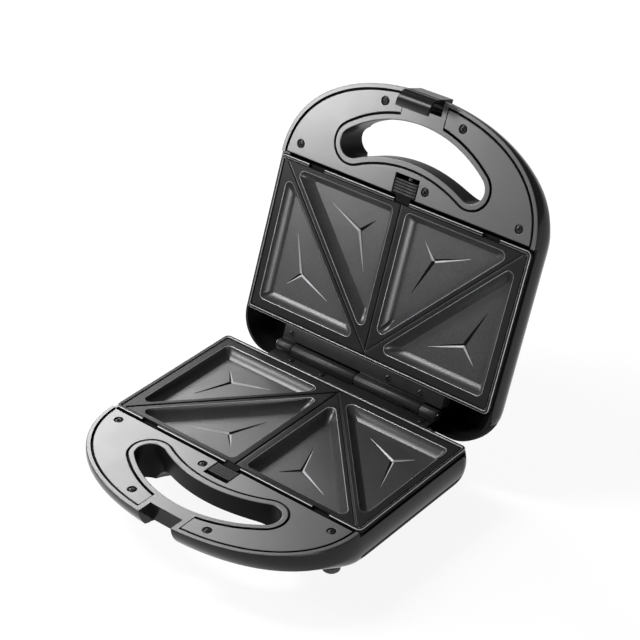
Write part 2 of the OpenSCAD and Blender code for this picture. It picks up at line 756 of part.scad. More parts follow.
module base_housing() {
    color(black) in_base() difference() {
        union() {
            difference() {
                union() {
                    half_housing(base_depth, base_rear, base_tail_round, base_corner_r);
                    hinge_block(0);
                }
                hinge_block(shell_wall);
            }
            hinge_shelf();
            lid_stops();
            for (p = foot_places()) translate([p.x, p.y, foot_rubber_h - hinge_z])
                cylinder(r = foot_r + 0.4, h = hinge_z - foot_rubber_h - foot_post_top);
            translate([cord_x, cord_seat_y - bush_boss_len, -cord_depth]) rotate([-90, 0, 0])
                cylinder(r = cord_hole_r + bush_wall + bush_boss_wall, h = bush_boss_len);
        }
        hinge_screw_holes();
        for (p = foot_places()) translate([p.x, p.y, -far])
            cylinder(r = foot_screw_r + shank_clear, h = far + foot_hole_top);
        translate([cord_x, cord_seat_y - cord_way, -cord_depth]) rotate([-90, 0, 0])
            cylinder(r = cord_hole_r + bush_wall, h = 2 * cord_way);
        for (i = [0:vent_count - 1])
            translate([(i - (vent_count - 1) / 2) * vent_pitch - vent_w / 2,
                       plate_rear - plate_d / 2 - vent_len / 2, -base_depth - 10])
                cube([vent_w, vent_len, 20]);
    }
}

module lid_housing() {
    color(black) in_lid() difference() {
        union() {
            half_housing(lid_depth, lid_tail, lid_tail_round, lid_corner_r);
            hinge_shelf();
            intersection() {
                outer_skin(lid_depth, lid_tail, lid_tail_round, lid_corner_r);
                translate([-shelf_half, leaf_front, -far])
                    cube([2 * shelf_half, shell_wall, far + leaf_bed_z]);
            }
        }
        hinge_screw_holes();
        for (s = [-1, 1]) translate([s * lamp_x, -lamp_y, -far])
            cylinder(r = lamp_r + shank_clear, h = far - lid_depth + 8);
        for (s = [-1, 1]) translate([s * slot_half, latch_pin_y, -latch_pin_depth]) rotate([0, s * 90, 0])
            cylinder(r = latch_pin_r + 0.02, h = slot_cheek);
    }
}

// Handle cover, with its screw seats and the opening for the release button.
module handle_cover() {
    color(satin) difference() {
        translate([0, 0, cover_bed_z]) linear_extrude(cover_t) difference() {
            nose_plan(rim_w + seam);
            grip_plan(grip_band + seam);
            translate([-far / 2, cover_rear]) square([far, far]);
            translate([-cover_gap_half, nose_tip - 5]) square([2 * cover_gap_half, grip_reach + slot_depth]);
            translate([-button_w / 2 - button_gap, button_front - button_travel - button_gap])
                square([button_w + 2 * button_gap, far]);
        }
        at_cover_screws() {
            translate([0, 0, cover_bed_z - 1]) cylinder(r = cover_screw_r + shank_clear, h = far);
            translate([0, 0, screw_seat_z]) cylinder(r = cover_screw_head_r + head_clear, h = far);
        }
    }
}

// Pan-head cross screw that stands on z = 0 with its shank downward.
module pan_screw(head_r, shank_r, len) {
    head_h = 0.45 * head_r;
    difference() {
        union() {
            cylinder(r = head_r, h = head_h * 0.55);
            translate([0, 0, head_h * 0.55]) cylinder(r1 = head_r, r2 = head_r * 0.72, h = head_h * 0.45);
            translate([0, 0, -len]) cylinder(r = shank_r, h = len + overlap);
        }
        for (a = [0, 90]) rotate([0, 0, a]) translate([-head_r * 0.62, -head_r * 0.13, head_h * 0.45])
            cube([head_r * 1.24, head_r * 0.26, head_h]);
    }
}
module cover_screws() {
    color(black) at_cover_screws() translate([0, 0, screw_seat_z])
        pan_screw(cover_screw_head_r, cover_screw_r, cover_screw_len);
}
module hinge_screws() {
    color(black) at_leaf_screws() translate([0, 0, leaf_top_z])
        pan_screw(hinge_screw_head_r, hinge_screw_r, hinge_screw_len);
}
module tray_screws() {
    color(steel) at_tray_screws() translate([0, 0, -tray_depth])
        pan_screw(tray_screw_head_r, tray_screw_r, tray_screw_len);
}

// One pocket as a cut: a steep wall that turns into the floor in a wide curve.
module pocket_cut(t) {
    // Each step: share of the lean, share of the depth that is left, share of the corner radius.
    steps = [[0, 1, 1], [0.3, 0.42, 0.7], [0.55, 0.16, 0.45], [1, 0, 0.25]];
    loft(concat(
        [at_height(round_triangle(t, 0, pocket_corner_r, 5), land_z + 2)],
        [for (s = steps) at_height(round_triangle(t, s[0] * pocket_lean, s[2] * pocket_corner_r, 5),
                                   pocket_floor_z + s[1] * pocket_depth)]));
}
module star_cut(t) {
    corner = t[0];
    leg = [sign(t[1].x - t[0].x), sign(t[2].y - t[0].y)];
    centre = corner + star_offset * leg;
    middle = atan2(-leg.y, -leg.x);
    translate([centre.x, centre.y, pocket_floor_z - star_depth]) linear_extrude(star_depth + 1) {
        circle(star_arm_w / 2);
        for (arm = [[0, 0.52], [113, 1], [-113, 1]]) rotate(middle + arm[0]) polygon([
            [0, -star_arm_w / 2], [star_arm * arm[1], -star_arm_w / 8],
            [star_arm * arm[1], star_arm_w / 8], [0, star_arm_w / 2]]);
    }
}
module plate_pockets() {
    pocket_cut(outer_pocket);
    pocket_cut(front_pocket);
    star_cut(outer_pocket);
    star_cut(front_pocket);
    translate([diagonal_start.x, diagonal_start.y, land_z - groove_depth])
        rotate([0, 0, atan2(diagonal_way.y, diagonal_way.x)])
            translate([5, -groove_w / 2, 0]) cube([norm(diagonal_end - diagonal_start) - 5, groove_w, 5]);
}
module pocket_backs() {
    for (t = [outer_pocket, front_pocket])
        translate([0, 0, plate_bottom]) linear_extrude(land_z - plate_bottom)
            polygon(round_triangle(t, -plate_sheet * 0.8, pocket_corner_r, 5));
}
module cooking_plate() {
    mid_y = (plate_front + plate_rear) / 2;
    color(coated) difference() {
        union() {
            translate([0, mid_y, rim_bottom]) linear_extrude(plate_rim_h) difference() {
                round_rect(plate_w, plate_d, plate_corner_r);
                round_rect(plate_w - 2 * plate_rim_w, plate_d - 2 * plate_rim_w, plate_corner_r - 1);
            }
            translate([0, mid_y, land_z - plate_sheet]) linear_extrude(plate_sheet)
                round_rect(plate_w - plate_rim_w, plate_d - plate_rim_w, plate_corner_r - 1);
            mirrored() pocket_backs();
        }
        mirrored() plate_pockets();
        translate([-groove_w / 2, plate_front + plate_rim_w + 1, land_z - groove_depth])
            cube([groove_w, diagonal_end.y - plate_front - plate_rim_w - 1, 5]);
        for (x = [-side_notch_x, side_notch_x]) translate([x - side_notch_w / 2, plate_front - 1, catch_z])
            cube([side_notch_w, 3.6, 5]);
        translate([-catch_notch_w / 2, plate_front - 1, catch_z]) cube([catch_notch_w, 3.6, 5]);
    }
}

// Tubular heating element: a loop with two cold ends at the rear.
module element_bend(x, y, a) {
    translate([x, y, 0]) rotate([0, 0, a]) rotate_extrude(angle = 90)
        translate([element_bend_r, 0]) circle(element_r);
}
module heating_element() {
    b = element_bend_r;
    color(steel) translate([0, 0, element_z]) {
        translate([-element_x + b, element_front, 0]) rotate([0, 90, 0])
            cylinder(r = element_r, h = 2 * (element_x - b));
        mirrored() {
            element_bend(element_x - b, element_front + b, 270);
            translate([element_x, element_front + b, 0]) rotate([-90, 0, 0])
                cylinder(r = element_r, h = element_rear - element_front - 2 * b);
            element_bend(element_x - b, element_rear - b, 0);
            translate([element_leg_x + b, element_rear, 0]) rotate([0, 90, 0])
                cylinder(r = element_r, h = element_x - element_leg_x - 2 * b);
            translate([element_leg_x + b, element_rear + b, 0]) rotate([0, 0, 180])
                rotate_extrude(angle = 90) translate([b, 0]) circle(element_r);
            translate([element_leg_x, element_rear + b, 0]) rotate([-90, 0, 0]) {
                cylinder(r = element_r, h = 3);
                cylinder(r = 1.2, h = 7);
            }
        }
    }
}
// Bent clips that hold the element over its tray.
module element_clips() {
    foot = 8;
    web = 1.2;
    clip_h = element_z - element_r - element_gap + tray_depth;
    mid_y = (element_front + element_rear) / 2;
    color(steel) for (p = [[-element_x, mid_y], [element_x, mid_y], [0, element_front]])
        translate([p.x - foot / 2, p.y - foot / 2, -tray_depth]) {
            cube([foot, foot, tray_t]);
            translate([(foot - web) / 2, 0, 0]) cube([web, foot, clip_h]);
            translate([0, 0, clip_h - tray_t]) cube([foot, foot, tray_t]);
        }
}
// Tray that throws the heat up at the plate.
module reflector_tray() {
    color(steel) difference() {
        union() {
            translate([-tray_x, tray_front, tray_bottom_z])
                cube([2 * tray_x, tray_rear - tray_front, tray_top_z - tray_bottom_z]);
            translate([-tray_x - 3, tray_front - 3, tray_top_z - tray_t])
                cube([2 * tray_x + 6, tray_rear - tray_front + 6, tray_t]);
        }
        translate([-tray_x + tray_t, tray_front + tray_t, -tray_depth])
            cube([2 * (tray_x - tray_t), tray_rear - tray_front - 2 * tray_t, far]);
        for (s = [-1, 1])
            translate([s * element_leg_x - leg_notch / 2, tray_rear - 5, element_z - leg_notch / 2])
                cube([leg_notch, 12, far]);
        at_tray_screws() translate([0, 0, -far / 2]) cylinder(r = tray_screw_r + shank_clear, h = far);
    }
}
module thermostat() {
    color(steel) translate([thermostat_x, thermostat_y, tray_bottom_z - 6]) {
        cylinder(d = thermostat_d, h = 6);
        translate([-thermostat_d / 2 - 4, -3, 5.2]) cube([thermostat_d + 8, 6, 0.8]);
        for (s = [-1, 1]) translate([s * 5 - 1.5, -0.4, -0.4]) cube([3, 0.8, 2]);
    }
}

// Hinge leaf with one long and one short knuckle.
module hinge_leaf() {
    spans = [[-long_knuckle_end + knuckle_gap / 2, -knuckle_gap / 2],
             [long_knuckle_end + knuckle_gap / 2, barrel_half]];
    color(black) difference() {
        union() {
            translate([-barrel_half, leaf_front, leaf_bed_z])
                cube([2 * barrel_half, leaf_rear - leaf_front, leaf_t]);
            for (s = spans) translate([s[0], 0, 0]) {
                rotate([0, 90, 0]) cylinder(r = barrel_r, h = s[1] - s[0]);
                translate([0, leaf_rear - 1, leaf_bed_z]) cube([s[1] - s[0], -leaf_rear + 1, leaf_t]);
            }
        }
        translate([-far / 2, 0, 0]) rotate([0, 90, 0]) cylinder(r = hinge_pin_r + pin_clear, h = far);
        at_leaf_screws() translate([0, 0, leaf_bed_z - 1]) cylinder(r = hinge_screw_r + shank_clear, h = 10);
    }
}
module hinge_pin() {
    color(steel) in_base() {
        translate([-pin_half, 0, 0]) rotate([0, 90, 0]) cylinder(r = hinge_pin_r, h = 2 * pin_half);
        for (s = [-1, 1]) translate([s * pin_half, 0, 0]) rotate([0, s * 90, 0])
            cylinder(r = hinge_pin_r + 1, h = 1);
    }
}

// Release button: a ribbed cap on a slide whose nose holds the plate's rim.
module release_button() {
    rib_pitch = button_d / button_ribs;
    slit_w = rib_pitch * 0.44;
    color(black) {
        difference() {
            translate([-button_w / 2, button_front, slide_top_z]) cube([button_w, button_d, button_h]);
            for (i = [0:button_ribs - 1])
                translate([-button_w / 2 - 1, button_front + (i + 0.5) * rib_pitch - slit_w / 2,
                           button_top_z - 0.6])
                    cube([button_w + 2, slit_w, 1]);
        }
        translate([-6, slide_front, slide_bottom_z])
            cube([12, button_rear - slide_front, slide_top_z - slide_bottom_z + overlap]);
        translate([0, slide_front + overlap, spring_z]) rotate([90, 0, 0]) cylinder(r = spring_peg_r, h = 2);
        translate([-catch_notch_w / 2 + 0.8, button_rear - 1, catch_z + part_clear])
            cube([catch_notch_w - 1.6, catch_tip - button_rear + 1, catch_t]);
    }
}
// Return spring as one coiled wire from the slide to its stop.
function coil_ring(t, pitch, sides) = [
    for (i = [0:sides - 1])
        let (a = 360 * i / sides, r = spring_r + spring_wire_r * cos(a))
        [r * cos(t), r * sin(t), pitch * t / 360 + spring_wire_r * sin(a)]
];
module release_spring() {
    sides = 5;
    per_turn = 12;
    rings = spring_turns * per_turn;
    pitch = (spring_len - 2 * spring_wire_r) / spring_turns;
    points = [for (k = [0:rings]) each coil_ring(360 * k / per_turn, pitch, sides)];
    start = [0, spring_stop_y + 0.1 + spring_wire_r, spring_z];
    color(steel) translate(start) rotate([-90, 0, 0]) polyhedron(
        points = points,
        faces = concat(
            [[for (i = [0:sides - 1]) sides - 1 - i]],
            [for (k = [0:rings - 1]) for (i = [0:sides - 1])
                each [[k * sides + i, k * sides + (i + 1) % sides, (k + 1) * sides + (i + 1) % sides],
                      [k * sides + i, (k + 1) * sides + (i + 1) % sides, (k + 1) * sides + i]]],
            [[for (i = [0:sides - 1]) rings * sides + i]]));
}

// Latch: a bent plate on a barrel, with a hook lip at its free end.
module latch_profile() {
    bend = [latch_face_y + latch_bend_r, latch_reach - latch_bend_r];
    tip_y = latch_face_y + latch_hook;
    top = -latch_pin_depth - latch_barrel_r;
    difference() {
        union() {
            translate([latch_face_y, top]) square([latch_t, bend.y - top]);
            translate([latch_face_y, top]) square([latch_pin_y - latch_face_y, 2 * latch_barrel_r]);
            translate([latch_pin_y, -latch_pin_depth]) circle(latch_barrel_r);
            intersection() {
                difference() {
                    translate(bend) circle(latch_bend_r);
                    translate(bend) circle(latch_bend_r - latch_t);
                }
                translate([latch_face_y, bend.y]) square([latch_bend_r, latch_bend_r]);
            }
            translate([bend.x, latch_reach - latch_t]) square([tip_y - bend.x, latch_t]);
        }
        for (a = [125:22:169]) translate(bend + latch_bend_r * [cos(a), sin(a)]) circle(0.55, $fn = 16);
    }
}
// Rib that stiffens the latch from inside.
module latch_rib() {
    bend = [latch_face_y + latch_bend_r, latch_reach - latch_bend_r];
    inner_r = latch_bend_r - latch_t;
    translate([latch_face_y + latch_t - 0.5, -2]) square([latch_rib_h + 0.5, bend.y + 2]);
    intersection() {
        difference() {
            translate(bend) circle(inner_r + 0.5);
            translate(bend) circle(inner_r - latch_rib_h);
        }
        translate([latch_face_y, bend.y]) square(latch_bend_r);
    }
}
module latch() {
    color(coated) in_lid() difference() {
        union() {
            translate([-latch_half, 0, 0]) rotate([90, 0, 90]) linear_extrude(2 * latch_half)
                latch_profile();
            for (x = [-0.7, 0, 0.7]) translate([x * latch_half - 0.6, 0, 0]) rotate([90, 0, 90])
                linear_extrude(1.2) latch_rib();
        }
        translate([-far / 2, latch_pin_y, -latch_pin_depth]) rotate([0, 90, 0])
            cylinder(r = latch_pin_r + pin_clear, h = far);
    }
}
module latch_pin() {
    color(steel) in_lid() translate([-latch_pin_half, latch_pin_y, -latch_pin_depth]) rotate([0, 90, 0])
        cylinder(r = latch_pin_r, h = 2 * latch_pin_half);
}

module feet(x, y) {
    color(rubber) for (s = [-1, 1]) translate([s * x, hinge_y - y, 0]) difference() {
        union() {
            translate([0, 0, 1]) cylinder(r = foot_r, h = foot_rubber_h - 1);
            cylinder(r1 = foot_r - 1, r2 = foot_r, h = 1);
        }
        translate([0, 0, -1]) cylinder(r = foot_screw_head_r + head_clear, h = foot_screw_sink + 1);
        cylinder(r = foot_screw_r + shank_clear, h = far);
    }
}
module front_feet() { feet(foot_x, front_foot_y); }
module rear_feet() { feet(rear_foot_x, rear_foot_y); }
module foot_screws() {
    color(steel) for (p = foot_places()) translate([p.x, hinge_y + p.y, foot_screw_sink]) rotate([180, 0, 0])
        pan_screw(foot_screw_head_r, foot_screw_r, foot_screw_len);
}
// Bush that lines the cord inlet.
module cord_bush() {
    color(black) in_base() translate([cord_x, cord_seat_y, -cord_depth]) rotate([-90, 0, 0]) difference() {
        union() {
            cylinder(r = cord_hole_r + bush_wall + bush_lip, h = bush_lip_t);
            translate([0, 0, -bush_len])
                cylinder(r = cord_hole_r + bush_wall - shank_clear, h = bush_len + overlap);
        }
        translate([0, 0, -far / 2]) cylinder(r = cord_hole_r, h = far);
    }
}
module lens(s, tint) {
    color(tint) in_lid() translate([s * lamp_x, -lamp_y, -lid_depth - half_gap]) {
        translate([0, 0, -1.2]) cylinder(r = lamp_r + 1.2, h = 1.2);
        cylinder(r = lamp_r, h = shell_wall);
    }
}
module indicator_lamps() {
    color([0.9, 0.6, 0.3]) in_lid() for (s = [-1, 1])
        translate([s * lamp_x, -lamp_y, -lid_depth - half_gap + shell_wall + 0.2]) cylinder(r = 2.6, h = 5);
}
module thermal_fuse() {
    color(steel) in_base() translate([-fuse_x, (plate_front + plate_rear) / 2, tray_bottom_z - 2 * fuse_r]) {
        translate([-fuse_len / 2, 0, fuse_r]) rotate([0, 90, 0]) cylinder(r = fuse_r, h = fuse_len);
        translate([-3, -2 * fuse_r, 2 * fuse_r - 0.8]) cube([6, 4 * fuse_r, 0.8]);
    }
}
module terminal_block() {
    pole = terminal_w / 3;
    color([0.8, 0.8, 0.76]) in_base()
        translate([terminal_x, terminal_y, shell_wall - base_depth - half_gap]) difference() {
            cube([terminal_w, terminal_d, terminal_h]);
            for (i = [0:2]) translate([pole * (i + 0.5), terminal_d / 2, 2])
                cylinder(r = 1.6, h = terminal_h);
        }
}

module base_cover() { in_base() handle_cover(); }
module base_cover_screws() { in_base() cover_screws(); }
module base_plate() { in_base() cooking_plate(); }
module base_element() { in_base() heating_element(); }
module base_element_clips() { in_base() element_clips(); }
module base_tray() { in_base() reflector_tray(); }
module base_tray_screws() { in_base() tray_screws(); }
module base_thermostat() { in_base() thermostat(); }
module base_hinge_leaf() { in_base() hinge_leaf(); }
module base_hinge_screws() { in_base() hinge_screws(); }
module base_release_button() { in_base() release_button(); }
module base_release_spring() { in_base() release_spring(); }
module lid_cover() { in_lid() handle_cover(); }
module lid_cover_screws() { in_lid() cover_screws(); }
module lid_plate() { in_lid() cooking_plate(); }
module lid_element() { in_lid() heating_element(); }
module lid_element_clips() { in_lid() element_clips(); }
module lid_tray() { in_lid() reflector_tray(); }
module lid_tray_screws() { in_lid() tray_screws(); }
module lid_thermostat() { in_lid() thermostat(); }
module lid_hinge_leaf() { in_lid() hinge_leaf(); }
module lid_hinge_screws() { in_lid() hinge_screws(); }
module lid_release_button() { in_lid() release_button(); }
module lid_release_spring() { in_lid() release_spring(); }
module power_lens() { lens(-1, [0.8, 0.1, 0.08]); }
module ready_lens() { lens(1, [0.1, 0.6, 0.15]); }

base_housing();
base_cover();
base_cover_screws();
base_plate();
base_element();
base_element_clips();
base_tray();
base_tray_screws();
base_thermostat();
thermal_fuse();
terminal_block();
base_hinge_leaf();
base_hinge_screws();
hinge_pin();
base_release_button();
base_release_spring();
front_feet();
rear_feet();
foot_screws();
cord_bush();
lid_housing();
lid_cover();
lid_cover_screws();
lid_plate();
lid_element();
lid_element_clips();
lid_tray();
lid_tray_screws();
lid_thermostat();
lid_hinge_leaf();
lid_hinge_screws();
lid_release_button();
lid_release_spring();
power_lens();
ready_lens();
indicator_lamps();
latch();
latch_pin();
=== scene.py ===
"""Looks of the open sandwich toaster: two halves, their plates, handle covers, hinge, buttons and latch."""

import math

import bmesh
import bpy
from mathutils import Matrix, Vector


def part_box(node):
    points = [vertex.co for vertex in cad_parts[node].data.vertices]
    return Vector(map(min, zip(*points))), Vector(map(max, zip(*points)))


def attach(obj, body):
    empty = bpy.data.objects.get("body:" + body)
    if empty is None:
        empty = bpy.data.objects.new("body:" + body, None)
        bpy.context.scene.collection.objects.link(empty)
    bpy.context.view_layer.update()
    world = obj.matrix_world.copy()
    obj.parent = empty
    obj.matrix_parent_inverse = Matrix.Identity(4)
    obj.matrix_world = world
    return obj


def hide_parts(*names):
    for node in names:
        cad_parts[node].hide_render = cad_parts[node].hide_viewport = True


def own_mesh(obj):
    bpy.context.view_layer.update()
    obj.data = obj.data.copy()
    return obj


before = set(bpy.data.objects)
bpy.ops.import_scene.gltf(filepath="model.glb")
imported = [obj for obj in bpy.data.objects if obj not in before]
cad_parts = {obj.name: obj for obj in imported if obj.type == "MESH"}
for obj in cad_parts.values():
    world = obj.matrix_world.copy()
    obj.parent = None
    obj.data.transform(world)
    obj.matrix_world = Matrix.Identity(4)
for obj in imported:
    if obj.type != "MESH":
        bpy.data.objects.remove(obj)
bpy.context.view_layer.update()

# Sizes in millimetres. A half is drawn with the hinge axis at y = 0, its cooking
# face up and its depth down, in the same way as the solids that it dresses.
MM = 0.001
FAR, ABOVE, BELOW = 200.0, 10.0, -80.0
PLATE_W, PLATE_D = 226.0, 123.0
PLATE_REAR = -16.3
PLATE_FRONT = PLATE_REAR - PLATE_D
PLATE_MID = (PLATE_REAR + PLATE_FRONT) / 2
TOP = -0.2
RIM_BOTTOM, RIM_W = TOP - 4.0, 2.2
LAND = TOP - 0.9
POCKET_FLOOR = LAND - 7.6

# Housing: side walls that bulge to a belt and then turn in, and a handle end with a belly.
WALL = 2.4
SIDE_X = PLATE_W / 2 + 1 + WALL
BULGE, TURN_IN = 2.2, 28.0
RIM_X = SIDE_X - BULGE
NOSE_DEPTH, NOSE_LEAST, NOSE_POWER = 79.5, 0.55, 2.2
NOSE_TIP = PLATE_FRONT - NOSE_DEPTH
BELT, HANDLE_DEPTH, TIP_LEAN = 12.0, 15.0, 6.0
BELLY = math.tan(math.radians(17))
TOP_ROUND = 0.7
WALL_TOP = TOP - 3.5

# Handle cover. Its seam shows wider than the clearance that the solids have.
COVER_T = 2.2
COVER_BED = TOP - 0.2 - COVER_T
COVER_REAR = PLATE_FRONT - 3.2
RIB_FRONT, RIB_REAR, RIB_HALF, RIB_LOW = COVER_REAR - 2.6, PLATE_FRONT - 1.8, 125.0, -14.0
RING_W, GRIP_BAND, SEAM, LEDGE = 3.0, 4.0, 0.5, 2.6
SHOWN_SEAM = SEAM + 1.4
COVER_GAP = 19.2

# Handle opening: two lobes, joined by a shallow arc at the rear and a bow in front.
LOBE_X, LOBE_R, LOBE_Y = 53.2, 11.0, PLATE_FRONT - 26.7
GRIP_DIP, GRIP_BOW = 1.5, 29.8
GRIP_REAR, GRIP_FRONT = LOBE_Y - GRIP_DIP, LOBE_Y - GRIP_BOW
REAR_R = (LOBE_X ** 2 + GRIP_DIP ** 2 - LOBE_R ** 2) / (2 * (LOBE_R + GRIP_DIP))
FRONT_R = (LOBE_X ** 2 + GRIP_BOW ** 2 - LOBE_R ** 2) / (2 * (GRIP_BOW - LOBE_R))
REAR_C, FRONT_C = GRIP_REAR + REAR_R, GRIP_FRONT + FRONT_R
SCOOP_R, SCOOP_HALF, SCOOP_END = 60.0, 60.0, 20.0
SCOOP_Y, SCOOP_Z = LOBE_Y - 9, -15.0 - SCOOP_R

# Latch slot and latch.
SLOT_HALF, SLOT_Y = 14.8, NOSE_TIP + 12.3
SLOT_CHEEK, HOOK_LEDGE = 2.4, -13.9
LATCH_FACE = NOSE_TIP - 0.6
LATCH_PIN, LATCH_BARREL_R = (LATCH_FACE + 7.4, -8.0), 3.4
LATCH_HALF, LATCH_T, LATCH_BEND, LATCH_STEP = 14.3, 2.2, 9.5, 0.28

# Plate release button and its spring.
BUTTON_REAR = COVER_REAR - 0.1
BUTTON_W, BUTTON_D, BUTTON_TOP, CAP_T = 19.4, 11.4, TOP - 0.2, 3.4
BUTTON_TRAVEL, BUTTON_RIBS = 3.0, 5
SLIDE_HALF, SLIDE_LOW, SLIDE_FRONT = 6.0, BUTTON_TOP - 8, BUTTON_REAR - BUTTON_D + 1
SPRING_STOP, SPRING_Z = GRIP_REAR + GRIP_BAND + LEDGE + 0.4, BUTTON_TOP - 5.7
SPRING_R, SPRING_WIRE, SPRING_TURNS = 1.8, 0.35, 5

# Hinge, feet, cord inlet, lamps and vents.
BARREL_R, BARREL_HALF, PIN_BORE = 4.5, 74.5, 2.06
LEAF_FRONT, LEAF_REAR, LEAF_T = PLATE_REAR + 0.6, -5.2, 1.5
SHELF_HALF, SHELF_REAR, SHELF_T = BARREL_HALF + 1, LEAF_REAR - 1.3, 6.5
BLOCK_REAR, BLOCK_ROUND, BLOCK_LOW = -2.6, 6.0, -40.2
STOP_X, STOP_HALF, STOP_FACE = 45.0, 3.0, [(-0.43, -11.12), (-1.25, -13.38)]
FEET = [(-86, -135), (86, -135), (-64, -11), (64, -11)]
POST_R, POST_TOP, POST_LOW = 6.9, -28.0, -45.0
CORD_X, CORD_Z, CORD_HOLE = 42.0, -27.0, 3.6
LAMP_X, LAMP_Y, LAMP_HOLE = 12.0, -112.0, 4.1
VENTS, VENT_PITCH, VENT_R, VENT_HALF = 7, 9.0, 1.5, 12.5
LID_OPEN = math.radians(110)
HALVES = ("base", "lid")

hinge_low, hinge_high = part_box("hinge_pin")
HINGE = (hinge_low + hinge_high) / 2
PLACE = {
    "base": Matrix.Translation(HINGE),
    "lid": Matrix.Translation(HINGE) @ Matrix.Rotation(-LID_OPEN, 4, "X") @ Matrix.Rotation(math.pi, 4, "Y"),
}
BASE_TAIL = PLATE_REAR + 3.2
SHELL = {
    "base": dict(depth=40.0, tail=BASE_TAIL, tail_round=6.0, corner=12.0),
    "lid": dict(depth=34.0, tail=13.0, tail_round=14.0, corner=28.0),
}


# ---------------------------------------------------------------- outlines

def power(v, e):
    return math.copysign(abs(v) ** e, v)


def quarter(steps):
    """Angles of a quarter turn."""
    return [math.pi / 2 * i / steps for i in range(steps + 1)]


def nose_curve(half, tip, root, steps=96):
    """Superellipse end of a half, from its right side round the tip to its left."""
    out = []
    for i in range(steps + 1):
        a = math.pi * i / steps
        reach = max(0.0, math.sin(a)) ** (2 / NOSE_POWER)
        out.append((half * power(math.cos(a), 2 / NOSE_POWER), root - (root - tip) * reach))
    return out


def arc(cx, cy, r, a0, a1, steps):
    out = []
    for i in range(steps + 1):
        a = math.radians(a0 + (a1 - a0) * i / steps)
        out.append((cx + r * math.cos(a), cy + r * math.sin(a)))
    return out


def curve_in(u):
    return 1 - math.sqrt(max(0.0, 1 - u * u))


def half_width(d, depth):
    """Half the housing's width at depth d."""
    if d < BELT:
        return RIM_X + BULGE * math.sin(math.pi / 2 * max(0, d) / BELT)
    return SIDE_X - TURN_IN * curve_in((d - BELT) / (depth - BELT))


def tip_at(d):
    """How far the handle end reaches at depth d."""
    if d < HANDLE_DEPTH:
        return NOSE_TIP + TIP_LEAN * (max(0, d) / HANDLE_DEPTH) ** 2
    return NOSE_TIP + TIP_LEAN + (d - HANDLE_DEPTH) / BELLY


def outline(d, inset, depth, tail, tail_round, corner):
    """Outline of a housing at depth d, drawn in by inset."""
    half = half_width(d, depth) - inset
    rear = tail - tail_round * curve_in(d / depth) - inset
    root = max(PLATE_FRONT, tip_at(d) + NOSE_DEPTH * NOSE_LEAST)
    r = max(1.0, corner - inset)
    return (nose_curve(half, tip_at(d) + inset, root)
            + arc(-half + r, rear - r, r, 180, 90, 12) + arc(half - r, rear - r, r, 90, 0, 12))


def kidney(grow, lobe_steps=28, arc_steps=40):
    """Clockwise outline of the handle opening, grown outward."""
    front = math.degrees(math.atan2(LOBE_Y - FRONT_C, LOBE_X))
    rear = math.degrees(math.atan2(REAR_C - LOBE_Y, LOBE_X))
    out = arc(0, FRONT_C, FRONT_R + grow, front, -180 - front, arc_steps)
    out += arc(-LOBE_X, LOBE_Y, LOBE_R + grow, 180 - front, rear, lobe_steps)[1:]
    out += arc(0, REAR_C, REAR_R - grow, rear - 180, -rear, arc_steps)[1:]
    out += arc(LOBE_X, LOBE_Y, LOBE_R + grow, 180 - rear, front, lobe_steps)[1:-1]
    return out


def round_rect(x0, x1, y0, y1, r, steps=8):
    return (arc(x1 - r, y1 - r, r, 90, 0, steps) + arc(x1 - r, y0 + r, r, 0, -90, steps)
            + arc(x0 + r, y0 + r, r, -90, -180, steps) + arc(x0 + r, y1 - r, r, 180, 90, steps))


def circle(cx, cy, r, steps=32):
    return arc(cx, cy, r, 360, 0, steps)[:-1]


def mirrored(points):
    return [(-x, y) for x, y in reversed(points)]


def at(points, z):
    return [(x, y, z) for x, y in points]


# ---------------------------------------------------------------- mesh tools

def new_object(name, data):
    o = bpy.data.objects.new(name, data)
    bpy.context.scene.collection.objects.link(o)
    return o


def new_mesh(name, verts, faces):
    me = bpy.data.meshes.new(name)
    me.from_pydata(verts, [], faces)
    return new_object(name, me)


def loft(name, rings):
    """Closed skin over rings of equal length."""
    n = len(rings[0])
    verts = [Vector(p) * MM for ring in rings for p in ring]
    faces = [tuple(range(n))]
    for k in range(len(rings) - 1):
        for i in range(n):
            j = (i + 1) % n
            faces.append((k * n + i, (k + 1) * n + i, (k + 1) * n + j, k * n + j))
    faces.append(tuple((len(rings) - 1) * n + i for i in reversed(range(n))))
    o = new_mesh(name, verts, faces)
    bm = bmesh.new()
    bm.from_mesh(o.data)
    bmesh.ops.recalc_face_normals(bm, faces=bm.faces)
    bm.to_mesh(o.data)
    bm.free()
    return o


def prism(name, points, z0, z1):
    return loft(name, [at(points, z1), at(points, z0)])


def flared(name, make, z_top, z_low, r):
    """Cutter whose outline widens on a quarter round of radius r below z_top."""
    rings = [at(make(r), z_top + 1)]
    for a in quarter(5):
        rings.append(at(make(r * (1 - math.sin(a))), z_top - r * (1 - math.cos(a))))
    rings.append(at(make(0), z_low))
    return loft(name, rings)


def box(name, x0, x1, y0, y1, z0, z1):
    return prism(name, [(x1, y1), (x1, y0), (x0, y0), (x0, y1)], z0, z1)


def extrude_x(name, profile, x0, x1):
    return loft(name, [[(x0, y, z) for y, z in profile], [(x1, y, z) for y, z in profile]])


def bar_y(name, x, z, r, y0, y1, steps=40):
    return loft(name, [[(px, y, pz) for px, pz in circle(x, z, r, steps)] for y in (y0, y1)])


def lathe_x(name, profile, y, z, steps=160):
    """Turns a profile of (x, r) about the line along X through (y, z)."""
    turns = [2 * math.pi * i / steps for i in range(steps)]
    return loft(name, [[(x, y + r * math.cos(t), z + r * math.sin(t)) for t in turns] for x, r in profile])


